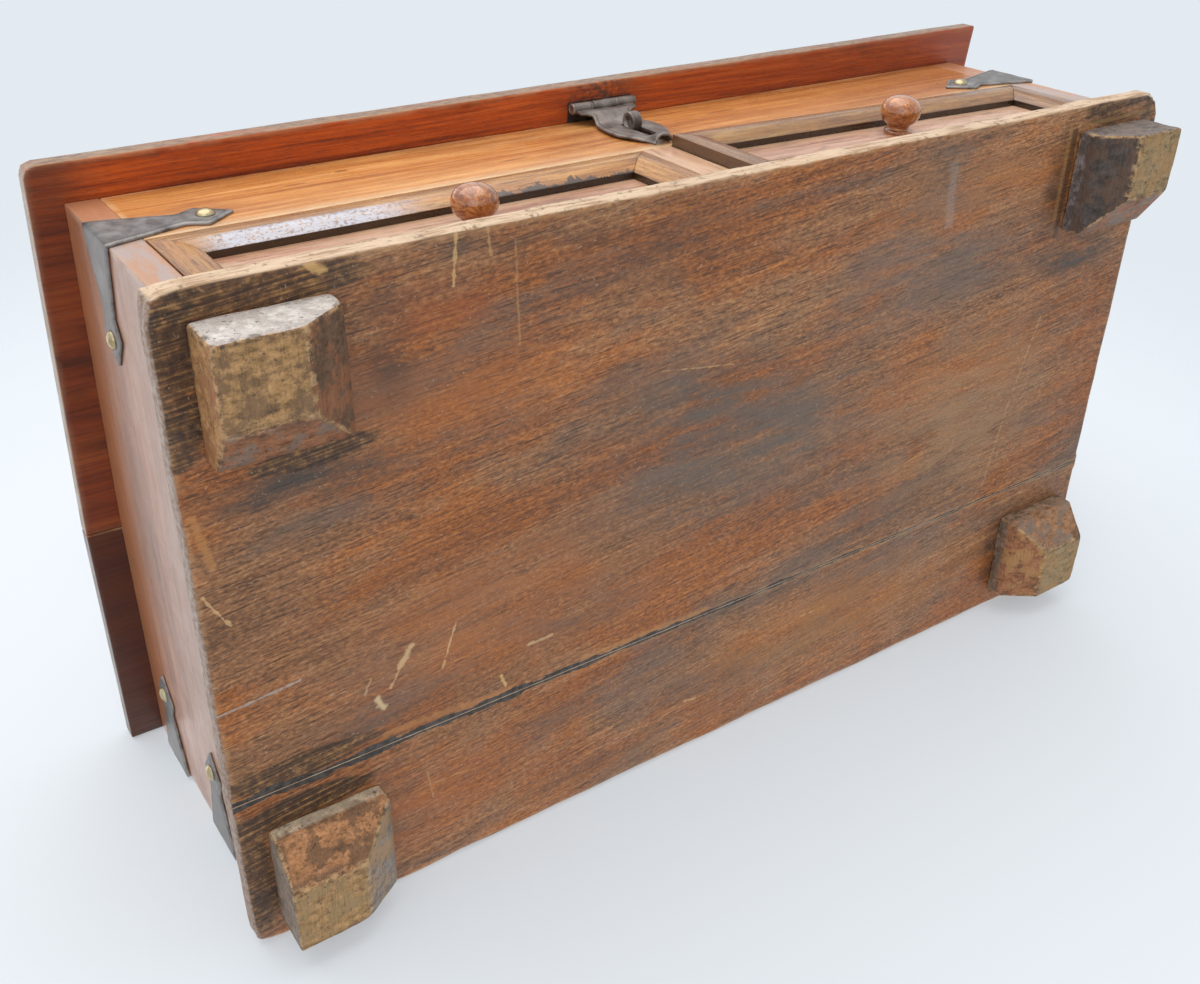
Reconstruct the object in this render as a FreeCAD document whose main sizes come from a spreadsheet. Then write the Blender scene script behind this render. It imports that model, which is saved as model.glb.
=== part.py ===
"""Wooden stationery box with a sloped lid, two drawers, iron straps and a hasp.

Millimetres. X runs from the left end to the right end, Y from the front to the back
and Z up. The origin is on the floor under the middle of the box.
"""
import FreeCAD, Part
import math
import os
import Sketcher

# Driving sizes
SIZES = {
    # base and feet
    "base_side_step": 10, "base_depth": 286, "base_thick": 9, "base_front_plank": 208,
    "foot_rise": 22, "foot_size": 48, "foot_inset": 12, "foot_wall": 10, "foot_slope": 17.5,
    # carcass
    "carcass_width": 480, "carcass_depth": 268.8, "base_step": 9.4, "side_thick": 12.8,
    "front_height": 118.5, "rear_height": 136.8, "slope_depth": 152.9,
    "rail_height": 54.5, "rail_thick": 12, "back_thick": 12, "dust_thick": 8,
    "muntin_width": 14.8, "muntin_left": 4.6, "muntin_thick": 14, "divider_thick": 8,
    # top
    "lid_thick": 9, "lid_overhang_front": 18.5, "lid_overhang_side": 15, "lid_edge_round": 1.2,
    "lid_corner_round": 4, "seat_gap": 0.3, "seam_gap": 0.4,
    # drawers
    "front_gap": 0.6, "front_thick": 14, "frame_width": 15.4, "frame_band": 8.8, "frame_ridge": 0.6,
    "frame_recess": 2.9, "panel_recess": 5.8, "box_wall": 8, "box_floor": 5, "floor_rise": 2,
    "box_drop": 4, "stop_gap": 8, "right_skew": 5,
    # knobs
    "knob_radius": 9.25, "knob_half_length": 7, "knob_neck_radius": 5.5, "knob_neck_length": 4.3,
    "knob_collar_radius": 6.6, "knob_collar_length": 1.5, "knob_sink": 1.4,
    "knob_shank_radius": 3.5, "fit_gap": 0.1, "left_knob_in": 111.7, "left_knob_rise": 28.7,
    "right_knob_in": 111.7, "right_knob_rise": 35.7,
    # iron straps and their nails
    "strap_thick": 1.4, "strap_reach": 49.5, "strap_corner_height": 29, "strap_neck_reach": 29.5,
    "strap_neck_height": 12, "strap_head_reach": 37, "strap_head_height": 19,
    "strap_front_rise": 75.5, "strap_upper_drop": 25.8, "strap_lower_rise": 49,
    "nail_radius": 3.75, "nail_dome": 2.1, "nail_from_tip": 9,
    # lid hinges
    "hinge_offset": 150, "hinge_width": 40, "hinge_leaf_length": 30, "hinge_leaf_thick": 1.2,
    "hinge_rise": 1.2, "knuckle_radius": 2.8, "knuckle_gap": 0.4, "pin_radius": 1.2,
    "pin_gap": 0.05,
    # hasp and staple
    "hasp_center": 2, "hasp_width": 35, "hasp_forward": 7, "hasp_knuckle_radius": 2.5,
    "hasp_pin_radius": 1, "hasp_middle_width": 12.3, "hasp_plate_length": 30,
    "hasp_thick": 1.2, "leaf_gap": 1.2, "leaf_bar_width": 31, "leaf_bar_drop": 5.8,
    "leaf_neck_width": 20.6, "leaf_neck_drop": 7.6, "leaf_shoulder_width": 26,
    "leaf_shoulder_drop": 18, "leaf_belly_width": 27.6, "leaf_belly_drop": 27,
    "leaf_hip_width": 23, "leaf_hip_drop": 36, "leaf_ankle_width": 14, "leaf_ankle_drop": 43,
    "leaf_bend_drop": 12, "leaf_flat_drop": 44, "leaf_drop": 48, "tip_radius": 3.9,
    "tip_overlap": 3, "slot_width": 5.6, "slot_bottom": 44, "slot_top": 18.5,
    "staple_radius": 4.4, "staple_thick": 1.5, "staple_width": 5, "staple_drop": 23.8,
    "staple_stand_off": 0.3,
}


class Size:
    """A length that knows its number and the sheet expression it comes from."""

    def __init__(self, number, text):
        self.number = number
        self.text = text

    @staticmethod
    def of(value):
        if isinstance(value, Size):
            return value
        return Size(float(value), repr(float(value)))

    def __add__(self, other):
        other = Size.of(other)
        return Size(self.number + other.number, f"({self.text} + {other.text})")

    def __sub__(self, other):
        other = Size.of(other)
        return Size(self.number - other.number, f"({self.text} - {other.text})")

    def __mul__(self, other):
        other = Size.of(other)
        return Size(self.number * other.number, f"({self.text} * {other.text})")

    def __truediv__(self, other):
        other = Size.of(other)
        return Size(self.number / other.number, f"({self.text} / {other.text})")

    def root(self):
        return Size(math.sqrt(self.number), f"sqrt({self.text})")

    def __neg__(self):
        return Size(-self.number, f"(0 - {self.text})")

    __radd__ = __add__
    __rmul__ = __mul__

    def __rsub__(self, other):
        return Size.of(other) - self


doc = FreeCAD.newDocument("StationeryBox")
sheet = doc.addObject("Spreadsheet::Sheet", "Sizes")


def write_sheet():
    """Fill the sheet, one named cell for each driving size, and return them by name."""
    named = {}
    for row, (alias, value) in enumerate(SIZES.items(), start=1):
        sheet.set(f"A{row}", alias)
        sheet.set(f"B{row}", str(value))
        sheet.setAlias(f"B{row}", alias)
        named[alias] = Size(float(value), f"Sizes.{alias}")
    doc.recompute()
    return named


size = write_sheet()
nodes = []


def bind(thing, prop, value):
    """Tie one property of a feature to an expression of the sheet."""
    thing.setExpression(prop, Size.of(value).text)


def place(thing, x=0, y=0, z=0, axis=None, angle=0):
    """Put a feature at a point, turned by an angle about one axis."""
    turn = FreeCAD.Rotation()
    if axis is not None:
        turn = FreeCAD.Rotation(FreeCAD.Vector(*axis), Size.of(angle).number)
    point = FreeCAD.Vector(*[Size.of(value).number for value in (x, y, z)])
    thing.Placement = FreeCAD.Placement(point, turn)
    for letter, value in zip("xyz", (x, y, z)):
        bind(thing, f"Placement.Base.{letter}", value)
    if isinstance(angle, Size):
        bind(thing, "Placement.Rotation.Angle", angle)


def keep(thing, node):
    """Name a finished sub-part."""
    thing.Label = node
    nodes.append(thing)
    return thing


# Sketches on a body's own planes: an outline is a list of points

PLANES = {"x": "YZ_Plane", "y": "XZ_Plane", "z": "XY_Plane"}


def attached_sketch(body, axis, offset):
    """A sketch square to one axis, at an offset along it."""
    sketch = body.newObject("Sketcher::SketchObject", "Outline")
    plane = [item for item in body.Origin.OriginFeatures if item.Role == PLANES[axis]][0]
    sketch.AttachmentSupport = [(plane, "")]
    sketch.MapMode = "FlatFace"
    along = -Size.of(offset) if axis == "y" else Size.of(offset)
    sketch.AttachmentOffset = FreeCAD.Placement(
        FreeCAD.Vector(0, 0, along.number), FreeCAD.Rotation())
    bind(sketch, "AttachmentOffset.Base.z", along)
    return sketch


def pin_point(sketch, geometry, corner, point):
    """Hold one point of a sketch at its two distances from the origin."""
    for kind, value in zip(("DistanceX", "DistanceY"), point):
        value = Size.of(value)
        constraint = Sketcher.Constraint(kind, -1, 1, geometry, corner, value.number)
        index = sketch.addConstraint(constraint)
        bind(sketch, f"Constraints[{index}]", value)


def draw_outline(sketch, points):
    """A closed outline of straight lines through the points."""
    flat = [FreeCAD.Vector(Size.of(a).number, Size.of(b).number, 0) for a, b in points]
    first = sketch.GeometryCount
    count = len(points)
    for index in range(count):
        sketch.addGeometry(Part.LineSegment(flat[index], flat[(index + 1) % count]), False)
    for index in range(count):
        following = first + (index + 1) % count
        sketch.addConstraint(Sketcher.Constraint("Coincident", first + index, 2, following, 1))
        pin_point(sketch, first + index, 1, points[index])


def draw_circle(sketch, center, radius):
    """A circle held by its centre and radius."""
    middle = FreeCAD.Vector(Size.of(center[0]).number, Size.of(center[1]).number, 0)
    circle = Part.Circle(middle, FreeCAD.Vector(0, 0, 1), Size.of(radius).number)
    index = sketch.addGeometry(circle, False)
    pin_point(sketch, index, 3, center)
    held = sketch.addConstraint(Sketcher.Constraint("Radius", index, Size.of(radius).number))
    bind(sketch, f"Constraints[{held}]", radius)


def new_body():
    return doc.addObject("PartDesign::Body", "Body")


def pad(body, axis, outlines, low, high):
    """Material between two levels of one axis."""
    sketch = attached_sketch(body, axis, low)
    for outline in outlines:
        draw_outline(sketch, outline)
    feature = body.newObject("PartDesign::Pad", "Pad")
    feature.Profile = sketch
    feature.Reversed = axis == "y"
    bind(feature, "Length", Size.of(high) - low)
    return feature


def pocket(body, axis, outline, low, high):
    """Material taken away between two levels of one axis."""
    sketch = attached_sketch(body, axis, low if axis == "y" else high)
    draw_outline(sketch, outline)
    return cut_down(body, sketch, Size.of(high) - low)


def round_pocket(body, axis, center, radius, low, high):
    """A round hole between two levels of one axis."""
    sketch = attached_sketch(body, axis, low if axis == "y" else high)
    draw_circle(sketch, center, radius)
    return cut_down(body, sketch, Size.of(high) - low)


def cut_down(body, sketch, depth):
    feature = body.newObject("PartDesign::Pocket", "Pocket")
    feature.Profile = sketch
    feature.Reversed = False
    bind(feature, "Length", depth)
    return feature


def rectangle(low_a, high_a, low_b, high_b):
    return [(low_a, low_b), (high_a, low_b), (high_a, high_b), (low_a, high_b)]


def prism(node, axis, outline, low, high):
    """A sub-part of one outline drawn along one axis."""
    body = new_body()
    pad(body, axis, [outline], low, high)
    return keep(body, node)


def board(node, x, y, z):
    """A plain board between two levels of each axis."""
    return prism(node, "z", rectangle(*x, *y), *z)


def round_edges(body, radius, chosen):
    """Round the edges of a body's tip that a test picks."""
    doc.recompute()
    tip = body.Tip
    names = [f"Edge{number}" for number, edge in enumerate(tip.Shape.Edges, start=1)
             if chosen(edge)]
    feature = body.newObject("PartDesign::Fillet", "Fillet")
    feature.Base = (tip, names)
    bind(feature, "Radius", radius)
    return feature


# Solids made of primitives and booleans

def block(x, y, z):
    """A box between two levels of each axis."""
    thing = doc.addObject("Part::Box", "Block")
    for prop, (low, high) in zip(("Length", "Width", "Height"), (x, y, z)):
        bind(thing, prop, Size.of(high) - low)
    place(thing, x[0], y[0], z[0])
    return thing


def rod(axis, point, radius, length):
    """A cylinder from a point along an axis."""
    turns = {"x": ((0, 1, 0), 90), "y": ((1, 0, 0), -90), "z": (None, 0)}
    thing = doc.addObject("Part::Cylinder", "Rod")
    bind(thing, "Radius", radius)
    bind(thing, "Height", length)
    place(thing, *point, *turns[axis])
    return thing


def common(things):
    thing = doc.addObject("Part::MultiCommon", "Common")
    thing.Shapes = things
    return thing


def joined(things):
    thing = doc.addObject("Part::MultiFuse", "Joined")
    thing.Shapes = things
    thing.Refine = True
    return thing


def drilled(base, tool):
    thing = doc.addObject("Part::Cut", "Drilled")
    thing.Base = base
    thing.Tool = tool
    thing.Refine = True
    return thing


# Levels that several sub-parts share

outer_x = size["carcass_width"] / 2
bx = outer_x + size["base_side_step"]
front_y = (size["lid_overhang_front"] + size["base_step"] - size["base_depth"]) / 2
base_front_y = front_y - size["base_step"]
base_back_y = base_front_y + size["base_depth"]
back_y = front_y + size["carcass_depth"]
seam_y = front_y + size["slope_depth"]
base_top_z = size["foot_rise"] + size["base_thick"]
front_top_z = base_top_z + size["front_height"]
rear_top_z = base_top_z + size["rear_height"]
opening_top_z = front_top_z - size["rail_height"]
inner_x = outer_x - size["side_thick"]
top_x = outer_x + size["lid_overhang_side"]
rail_back_y = front_y + size["rail_thick"]
back_front_y = back_y - size["back_thick"]
muntin_left_x = -(size["muntin_left"] + size["muntin_width"] / 2)
muntin_right_x = muntin_left_x + size["muntin_width"]
slope = (rear_top_z - front_top_z) / size["slope_depth"]


def slope_z(y):
    """Height of the carcass's sloping top edge at a depth."""
    return front_top_z + (Size.of(y) - front_y) * slope


def lid_under_z(y):
    return slope_z(y) + size["seat_gap"]


def lid_top_z(y):
    return lid_under_z(y) + size["lid_thick"]


# Feet and base

def foot(node, side, end):
    """A square foot, upright outside and cut back to a slope on its two inner sides."""
    span = size["foot_size"]
    outer_edge = bx - size["foot_inset"]
    inner_edge = outer_edge - span
    far_y = base_front_y + size["foot_inset"] if end < 0 else base_back_y - size["foot_inset"]
    near_y = far_y - span * end
    slope_start = size["foot_rise"] - size["foot_wall"]
    body = new_body()
    x = (inner_edge * side, outer_edge * side)
    y = (near_y, far_y)
    low_x, high_x = x if side > 0 else x[::-1]
    low_y, high_y = y if end > 0 else y[::-1]
    pad(body, "z", [rectangle(low_x, high_x, low_y, high_y)], 0, size["foot_rise"])
    cut_x = (inner_edge + size["foot_slope"]) * side
    wedge_x = [(inner_edge * side, 0), (cut_x, 0), (inner_edge * side, slope_start)]
    pocket(body, "y", wedge_x, low_y, high_y)
    cut_y = near_y + size["foot_slope"] * end
    wedge_y = [(near_y, 0), (cut_y, 0), (near_y, slope_start)]
    pocket(body, "x", wedge_y, low_x, high_x)
    keep(body, node)


def make_base():
    foot("foot_front_left", -1, -1)
    foot("foot_front_right", 1, -1)
    foot("foot_back_left", -1, 1)
    foot("foot_back_right", 1, 1)
    join_y = base_front_y + size["base_front_plank"]
    z = (size["foot_rise"], base_top_z)
    board("base_front_plank", (-bx, bx), (base_front_y, join_y), z)
    board("base_rear_plank", (-bx, bx), (join_y, base_back_y), z)


# Carcass

def make_carcass():
    side = [(front_y, base_top_z), (back_y, base_top_z), (back_y, rear_top_z),
            (seam_y, rear_top_z), (front_y, front_top_z)]
    prism("side_left", "x", side, -outer_x, -inner_x)
    prism("side_right", "x", side, inner_x, outer_x)
    rail = [(front_y, opening_top_z), (rail_back_y, opening_top_z),
            (rail_back_y, slope_z(rail_back_y)), (front_y, front_top_z)]
    prism("front_rail", "x", rail, -inner_x, inner_x)
    board("back_board", (-inner_x, inner_x), (back_front_y, back_y), (base_top_z, rear_top_z))
    dust_top = opening_top_z + size["dust_thick"]
    board("dust_board", (-inner_x, inner_x), (rail_back_y, back_front_y),
          (opening_top_z, dust_top))
    muntin_back = front_y + size["muntin_thick"]
    board("muntin", (muntin_left_x, muntin_right_x), (front_y, muntin_back),
          (base_top_z, opening_top_z))
    middle = (muntin_left_x + muntin_right_x) / 2
    half = size["divider_thick"] / 2
    board("drawer_divider", (middle - half, middle + half), (muntin_back, back_front_y),
          (base_top_z, opening_top_z))


# Top: a fixed rear board and a sloping lid

def hinge_x(side):
    """Left and right end of one hinge."""
    half = size["hinge_width"] / 2
    return size["hinge_offset"] * side - half, size["hinge_offset"] * side + half


hinge_axis_z = rear_top_z + size["lid_thick"] + size["hinge_rise"]
notch_reach = size["knuckle_radius"] + size["knuckle_gap"]
notch_floor_z = hinge_axis_z - notch_reach


def make_rear_board():
    body = new_body()
    top = rear_top_z + size["lid_thick"]
    pad(body, "z", [rectangle(-top_x, top_x, seam_y, back_y)], rear_top_z, top)
    for side in (-1, 1):
        low, high = hinge_x(side)
        gap = size["knuckle_gap"]
        notch = rectangle(low - gap, high + gap, seam_y - notch_reach, seam_y + notch_reach)
        pocket(body, "z", notch, notch_floor_z, top + notch_reach)
    keep(body, "rear_board")


def make_lid():
    """The lid, with rounded front corners, notches for the hinges and a bed for the hasp."""
    edge_y = front_y - size["lid_overhang_front"]
    rear_y = seam_y - size["seam_gap"]
    body = new_body()
    section = [(edge_y, lid_under_z(edge_y)), (rear_y, lid_under_z(rear_y)),
               (rear_y, lid_top_z(rear_y)), (edge_y, lid_top_z(edge_y))]
    pad(body, "x", [section], -top_x, top_x)

    def front_upright(edge):
        middle = edge.CenterOfMass
        box = edge.BoundBox
        return abs(middle.y - edge_y.number) < 0.1 and box.XLength < 0.1

    def front_long(edge):
        box = edge.BoundBox
        return box.YMax < edge_y.number + 0.1 and box.XLength > top_x.number

    round_edges(body, size["lid_corner_round"], front_upright)
    round_edges(body, size["lid_edge_round"], front_long)
    for side in (-1, 1):
        low, high = hinge_x(side)
        gap = size["knuckle_gap"]
        notch = rectangle(low - gap, high + gap, seam_y - notch_reach, seam_y)
        pocket(body, "z", notch, notch_floor_z, lid_top_z(seam_y) + notch_reach)
    low, high = hasp_x
    near = hasp_axis_y - size["hasp_knuckle_radius"]
    far = near + size["hasp_plate_length"] + size["fit_gap"]
    depth = size["hasp_thick"]
    bed = [(near, lid_under_z(near) - depth), (far, lid_under_z(far) - depth),
           (far, lid_under_z(far) + depth), (near, lid_under_z(near) + depth)]
    pocket(body, "x", bed, low - size["fit_gap"], high + size["fit_gap"])
    keep(body, "lid")


def knuckles(x, axis_y, axis_z, radius, bore):
    """One hollow barrel for each pair of ends, along X."""
    made = []
    for low, high in x:
        outer = rod("x", (low, axis_y, axis_z), radius, high - low)
        inner = rod("x", (low, axis_y, axis_z), bore, high - low)
        made.append(drilled(outer, inner))
    return made


def plate(x, section):
    """A flat iron plate of one section between two ends along X."""
    body = new_body()
    pad(body, "x", [section], *x)
    return body


def make_hinges():
    """Each lid hinge: a leaf on the rear board, a leaf on the lid and a pin."""
    thick = size["hinge_leaf_thick"]
    bore = size["pin_radius"] + size["pin_gap"]
    wall = (bore + size["knuckle_radius"]) / 2
    length = size["hinge_leaf_length"]
    rear_z = rear_top_z + size["lid_thick"]
    third = size["hinge_width"] / 3
    gap = size["knuckle_gap"] / 2
    for side, word in ((-1, "left"), (1, "right")):
        low, high = hinge_x(side)
        outer = [(low, low + third - gap), (high - third + gap, high)]
        middle = [(low + third + gap, high - third - gap)]
        leaf = [block((low, high), (seam_y + notch_reach, seam_y + length),
                      (rear_z, rear_z + thick))]
        for ends in outer:
            leaf.append(block(ends, (seam_y + wall, seam_y + notch_reach),
                              (rear_z, rear_z + thick)))
        leaf += knuckles(outer, seam_y, hinge_axis_z, size["knuckle_radius"], bore)
        keep(joined(leaf), f"hinge_{word}_rear_leaf")
        near_y = seam_y - notch_reach
        far_y = seam_y - length
        section = [(far_y, lid_top_z(far_y)), (near_y, lid_top_z(near_y)),
                   (near_y, lid_top_z(near_y) + thick), (far_y, lid_top_z(far_y) + thick)]
        tab_y = seam_y - wall
        tab = [(near_y, lid_top_z(near_y)), (tab_y, lid_top_z(near_y)),
               (tab_y, lid_top_z(near_y) + thick), (near_y, lid_top_z(near_y) + thick)]
        leaf = [plate((low, high), section), plate(middle[0], tab)]
        leaf += knuckles(middle, seam_y, hinge_axis_z, size["knuckle_radius"], bore)
        keep(joined(leaf), f"hinge_{word}_lid_leaf")
        pin = rod("x", (low, seam_y, hinge_axis_z), size["pin_radius"], size["hinge_width"])
        keep(pin, f"hinge_{word}_pin")


# Hasp on the lid and staple on the rail

hasp_x = (size["hasp_center"] - size["hasp_width"] / 2,
          size["hasp_center"] + size["hasp_width"] / 2)
hasp_axis_y = front_y - size["hasp_forward"]
hasp_axis_z = lid_under_z(hasp_axis_y) - size["hasp_knuckle_radius"] - size["knuckle_gap"]
hasp_middle = (size["hasp_center"] - size["hasp_middle_width"] / 2,
               size["hasp_center"] + size["hasp_middle_width"] / 2)


def make_hasp():
    bore = size["hasp_pin_radius"] + size["pin_gap"]
    radius = size["hasp_knuckle_radius"]
    wall = (bore + radius) / 2
    thick = size["hasp_thick"]
    near = hasp_axis_y - radius + size["fit_gap"]
    far = near + size["hasp_plate_length"] - size["fit_gap"]
    section = [(near, lid_under_z(near)), (far, lid_under_z(far)),
               (far, lid_under_z(far) + thick), (near, lid_under_z(near) + thick)]
    half = thick / 2
    tab = rectangle(hasp_axis_y - half, hasp_axis_y + half,
                    hasp_axis_z + wall, lid_under_z(hasp_axis_y) + half)
    parts = [plate(hasp_x, section), plate(hasp_middle, tab)]
    parts += knuckles([hasp_middle], hasp_axis_y, hasp_axis_z, radius, bore)
    keep(joined(parts), "hasp_lid_plate")
    pin = rod("x", (hasp_x[0], hasp_axis_y, hasp_axis_z), size["hasp_pin_radius"],
              size["hasp_width"])
    keep(pin, "hasp_pin")
    make_hasp_leaf(radius, bore, wall, thick)


def leaf_outline():
    """The shield shape of the leaf: a bar under the knuckles, a neck and a belly."""
    center = size["hasp_center"]
    levels = [("bar", size["hasp_knuckle_radius"] + size["knuckle_gap"])]
    levels += [(name, size[f"leaf_{name}_drop"])
               for name in ("bar", "neck", "shoulder", "belly", "hip", "ankle")]
    right = [(center + size[f"leaf_{name}_width"] / 2, hasp_axis_z - drop)
             for name, drop in levels]
    left = [(center - size[f"leaf_{name}_width"] / 2, hasp_axis_z - drop)
            for name, drop in levels]
    tip_z = hasp_axis_z - size["leaf_flat_drop"]
    right.append((center + size["tip_radius"], tip_z))
    left.append((center - size["tip_radius"], tip_z))
    return right + left[::-1]


def arched_tip():
    """Half of a tube, hollow towards the rail, at the leaf's lower end."""
    radius = size["tip_radius"]
    center = size["hasp_center"]
    axis_y = front_y - size["staple_stand_off"]
    low = hasp_axis_z - size["leaf_drop"]
    high = hasp_axis_z - size["leaf_flat_drop"] + size["tip_overlap"]
    tube = drilled(rod("z", (center, axis_y, low), radius, high - low),
                   rod("z", (center, axis_y, low), radius - size["hasp_thick"], high - low))
    rear = block((center - radius, center + radius), (axis_y, axis_y + radius), (low, high))
    return drilled(tube, rear)


def make_hasp_leaf(radius, bore, wall, thick):
    """The leaf, bent back from its knuckles towards the rail, with its slot and arched tip."""
    center = size["hasp_center"]
    gap = size["knuckle_gap"] / 2
    outer = [(hasp_x[0], hasp_middle[0] - gap), (hasp_middle[1] + gap, hasp_x[1])]
    upper = hasp_axis_y + wall - thick
    lower = front_y - size["leaf_gap"] - thick
    levels = [(upper, size["hasp_knuckle_radius"] + size["knuckle_gap"]),
              (upper, size["leaf_bar_drop"]), (lower, size["leaf_bend_drop"]),
              (lower, size["leaf_flat_drop"])]
    front = [(y, hasp_axis_z - drop) for y, drop in levels]
    back = [(y + thick, hasp_axis_z - drop) for y, drop in levels]
    bent = plate(hasp_x, front + back[::-1])
    shield = new_body()
    pad(shield, "y", [leaf_outline()], upper, lower + thick)
    leaf = common([bent, shield])
    half_slot = size["slot_width"] / 2
    slot = block((center - half_slot, center + half_slot),
                 (upper - radius - thick, lower + thick),
                 (hasp_axis_z - size["slot_bottom"], hasp_axis_z - size["slot_top"]))
    faces = (upper, upper + thick)
    tab_z = (hasp_axis_z - radius - size["knuckle_gap"], hasp_axis_z - wall)
    tabs = [block((low, high), faces, tab_z) for low, high in outer]
    barrels = knuckles(outer, hasp_axis_y, hasp_axis_z, radius, bore)
    keep(joined([drilled(joined([leaf, arched_tip()]), slot)] + tabs + barrels), "hasp_leaf")


def make_staple():
    """An iron strip rolled into a loop, on a short foot against the rail."""
    radius = size["staple_radius"]
    half = size["staple_width"] / 2
    x = (size["hasp_center"] - half, size["hasp_center"] + half)
    center_y = front_y - size["staple_stand_off"] - radius
    center_z = hasp_axis_z - size["staple_drop"]
    loop = knuckles([x], center_y, center_z, radius, radius - size["staple_thick"])
    foot_y = front_y - size["staple_stand_off"] - size["staple_thick"] / 2
    foot_block = block(x, (foot_y, front_y),
                       (center_z - size["staple_thick"], center_z + size["staple_thick"]))
    keep(joined(loop + [foot_block]), "staple")


# Iron straps round the corners, each with a nail in both arms

def arm_outline(corner, direction, rise):
    """Outline of one arm: it narrows to a neck and ends in a spear-shaped head."""
    stations = [(corner, size["strap_corner_height"] / 2)]
    stations += [(corner + size[f"strap_{name}_reach"] * direction,
                  size[f"strap_{name}_height"] / 2) for name in ("neck", "head")]
    tip = (corner + size["strap_reach"] * direction, rise)
    below = [(at, rise - half) for at, half in stations]
    above = [(at, rise + half) for at, half in stations]
    return below + [tip] + above[::-1]


def ordered(a, b):
    return (a, b) if a.number < b.number else (b, a)


def strap(node, side, end, level):
    """A strap on one upright corner: end is -1 at the front and 1 at the back."""
    thick = size["strap_thick"]
    face_y = front_y if end < 0 else back_y
    face_x = outer_x * side
    body = new_body()
    flat = arm_outline(face_x + thick * side, -side, level)
    pad(body, "y", [flat], *ordered(face_y, face_y + thick * end))
    turned = arm_outline(face_y + thick * end, -end, level)
    pad(body, "x", [turned], *ordered(face_x, face_x + thick * side))
    keep(body, node)
    return [flat_nail(face_x, face_y, side, end, level),
            side_nail(face_x, face_y, side, end, level)]


def nail_head(x, y, z, axis, angle):
    """A domed head, standing out along the turned Z axis."""
    thing = doc.addObject("Part::Ellipsoid", "NailHead")
    bind(thing, "Radius1", size["nail_dome"])
    bind(thing, "Radius2", size["nail_radius"])
    bind(thing, "Radius3", size["nail_radius"])
    thing.Angle1 = 0
    thing.Angle2 = 90
    place(thing, x, y, z, axis, angle)
    return thing


def flat_nail(face_x, face_y, side, end, level):
    reach = size["strap_reach"] - size["nail_from_tip"] - size["strap_thick"]
    return nail_head(face_x - reach * side, face_y + size["strap_thick"] * end, level,
                     (1, 0, 0), -90 * end)


def side_nail(face_x, face_y, side, end, level):
    reach = size["strap_reach"] - size["nail_from_tip"] - size["strap_thick"]
    return nail_head(face_x + size["strap_thick"] * side, face_y - reach * end, level,
                     (0, 1, 0), 90 * side)


def make_straps():
    heads = []
    front = base_top_z + size["strap_front_rise"]
    upper = rear_top_z - size["strap_upper_drop"]
    lower = base_top_z + size["strap_lower_rise"]
    for side, word in ((-1, "left"), (1, "right")):
        heads += strap(f"strap_front_{word}", side, -1, front)
        heads += strap(f"strap_back_{word}_upper", side, 1, upper)
        heads += strap(f"strap_back_{word}_lower", side, 1, lower)
    group = doc.addObject("Part::Compound", "Nails")
    group.Links = heads
    keep(group, "strap_nails")


# Drawers: the front is built in its own frame, turned about its right-hand end

def front_frame(thing, right_x, turn):
    place(thing, right_x, front_y, 0, (0, 0, 1), turn)


def moulding(outline, axis, edge, direction, along):
    """One mitred piece of the frame, rising to a ridge and sloping down to the panel."""
    ridge = -size["frame_ridge"]
    start = edge + size["frame_band"] * direction
    stop = edge + size["frame_width"] * direction
    body = new_body()
    pad(body, "y", [outline], ridge, size["front_thick"])
    outer = [(ridge, edge), (ridge, start), (0, edge)]
    inner = [(ridge, start), (ridge, stop), (size["frame_recess"], stop)]
    for wedge in (outer, inner):
        if axis == "z":
            wedge = [(across, depth) for depth, across in wedge]
        pocket(body, axis, wedge, *along)
    return body


def drawer_front(word, right_x, width, turn, low_z, high_z, knob_in, knob_rise):
    """Four mitred mouldings round a sunk panel, with a turned knob."""
    frame = size["frame_width"]
    left = -width
    zero = Size.of(0)
    corners = [(left, low_z), (zero, low_z), (zero, high_z), (left, high_z)]
    inner = [(left + frame, low_z + frame), (-frame, low_z + frame),
             (-frame, high_z - frame), (left + frame, high_z - frame)]
    runs = [("bottom", "x", low_z, 1, (left, zero)), ("right", "z", zero, -1, (low_z, high_z)),
            ("top", "x", high_z, -1, (left, zero)), ("left", "z", left, 1, (low_z, high_z))]
    for index, (name, axis, edge, direction, along) in enumerate(runs):
        following = (index + 1) % 4
        outline = [corners[index], corners[following], inner[following], inner[index]]
        body = moulding(outline, axis, edge, direction, along)
        front_frame(body, right_x, turn)
        keep(body, f"drawer_{word}_frame_{name}")
    knob_x = -(width - knob_in) if word == "left" else -knob_in
    knob_z = base_top_z + knob_rise
    panel = new_body()
    pad(panel, "y", [[inner[0], inner[1], inner[2], inner[3]]],
        size["panel_recess"], size["front_thick"])
    hole = size["knob_shank_radius"] + size["fit_gap"]
    round_pocket(panel, "y", (knob_x, knob_z), hole, size["panel_recess"], size["front_thick"])
    front_frame(panel, right_x, turn)
    keep(panel, f"drawer_{word}_panel")
    knob = make_knob(knob_x, knob_z)
    front_frame(knob, right_x, turn)
    keep(knob, f"knob_{word}")


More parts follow.
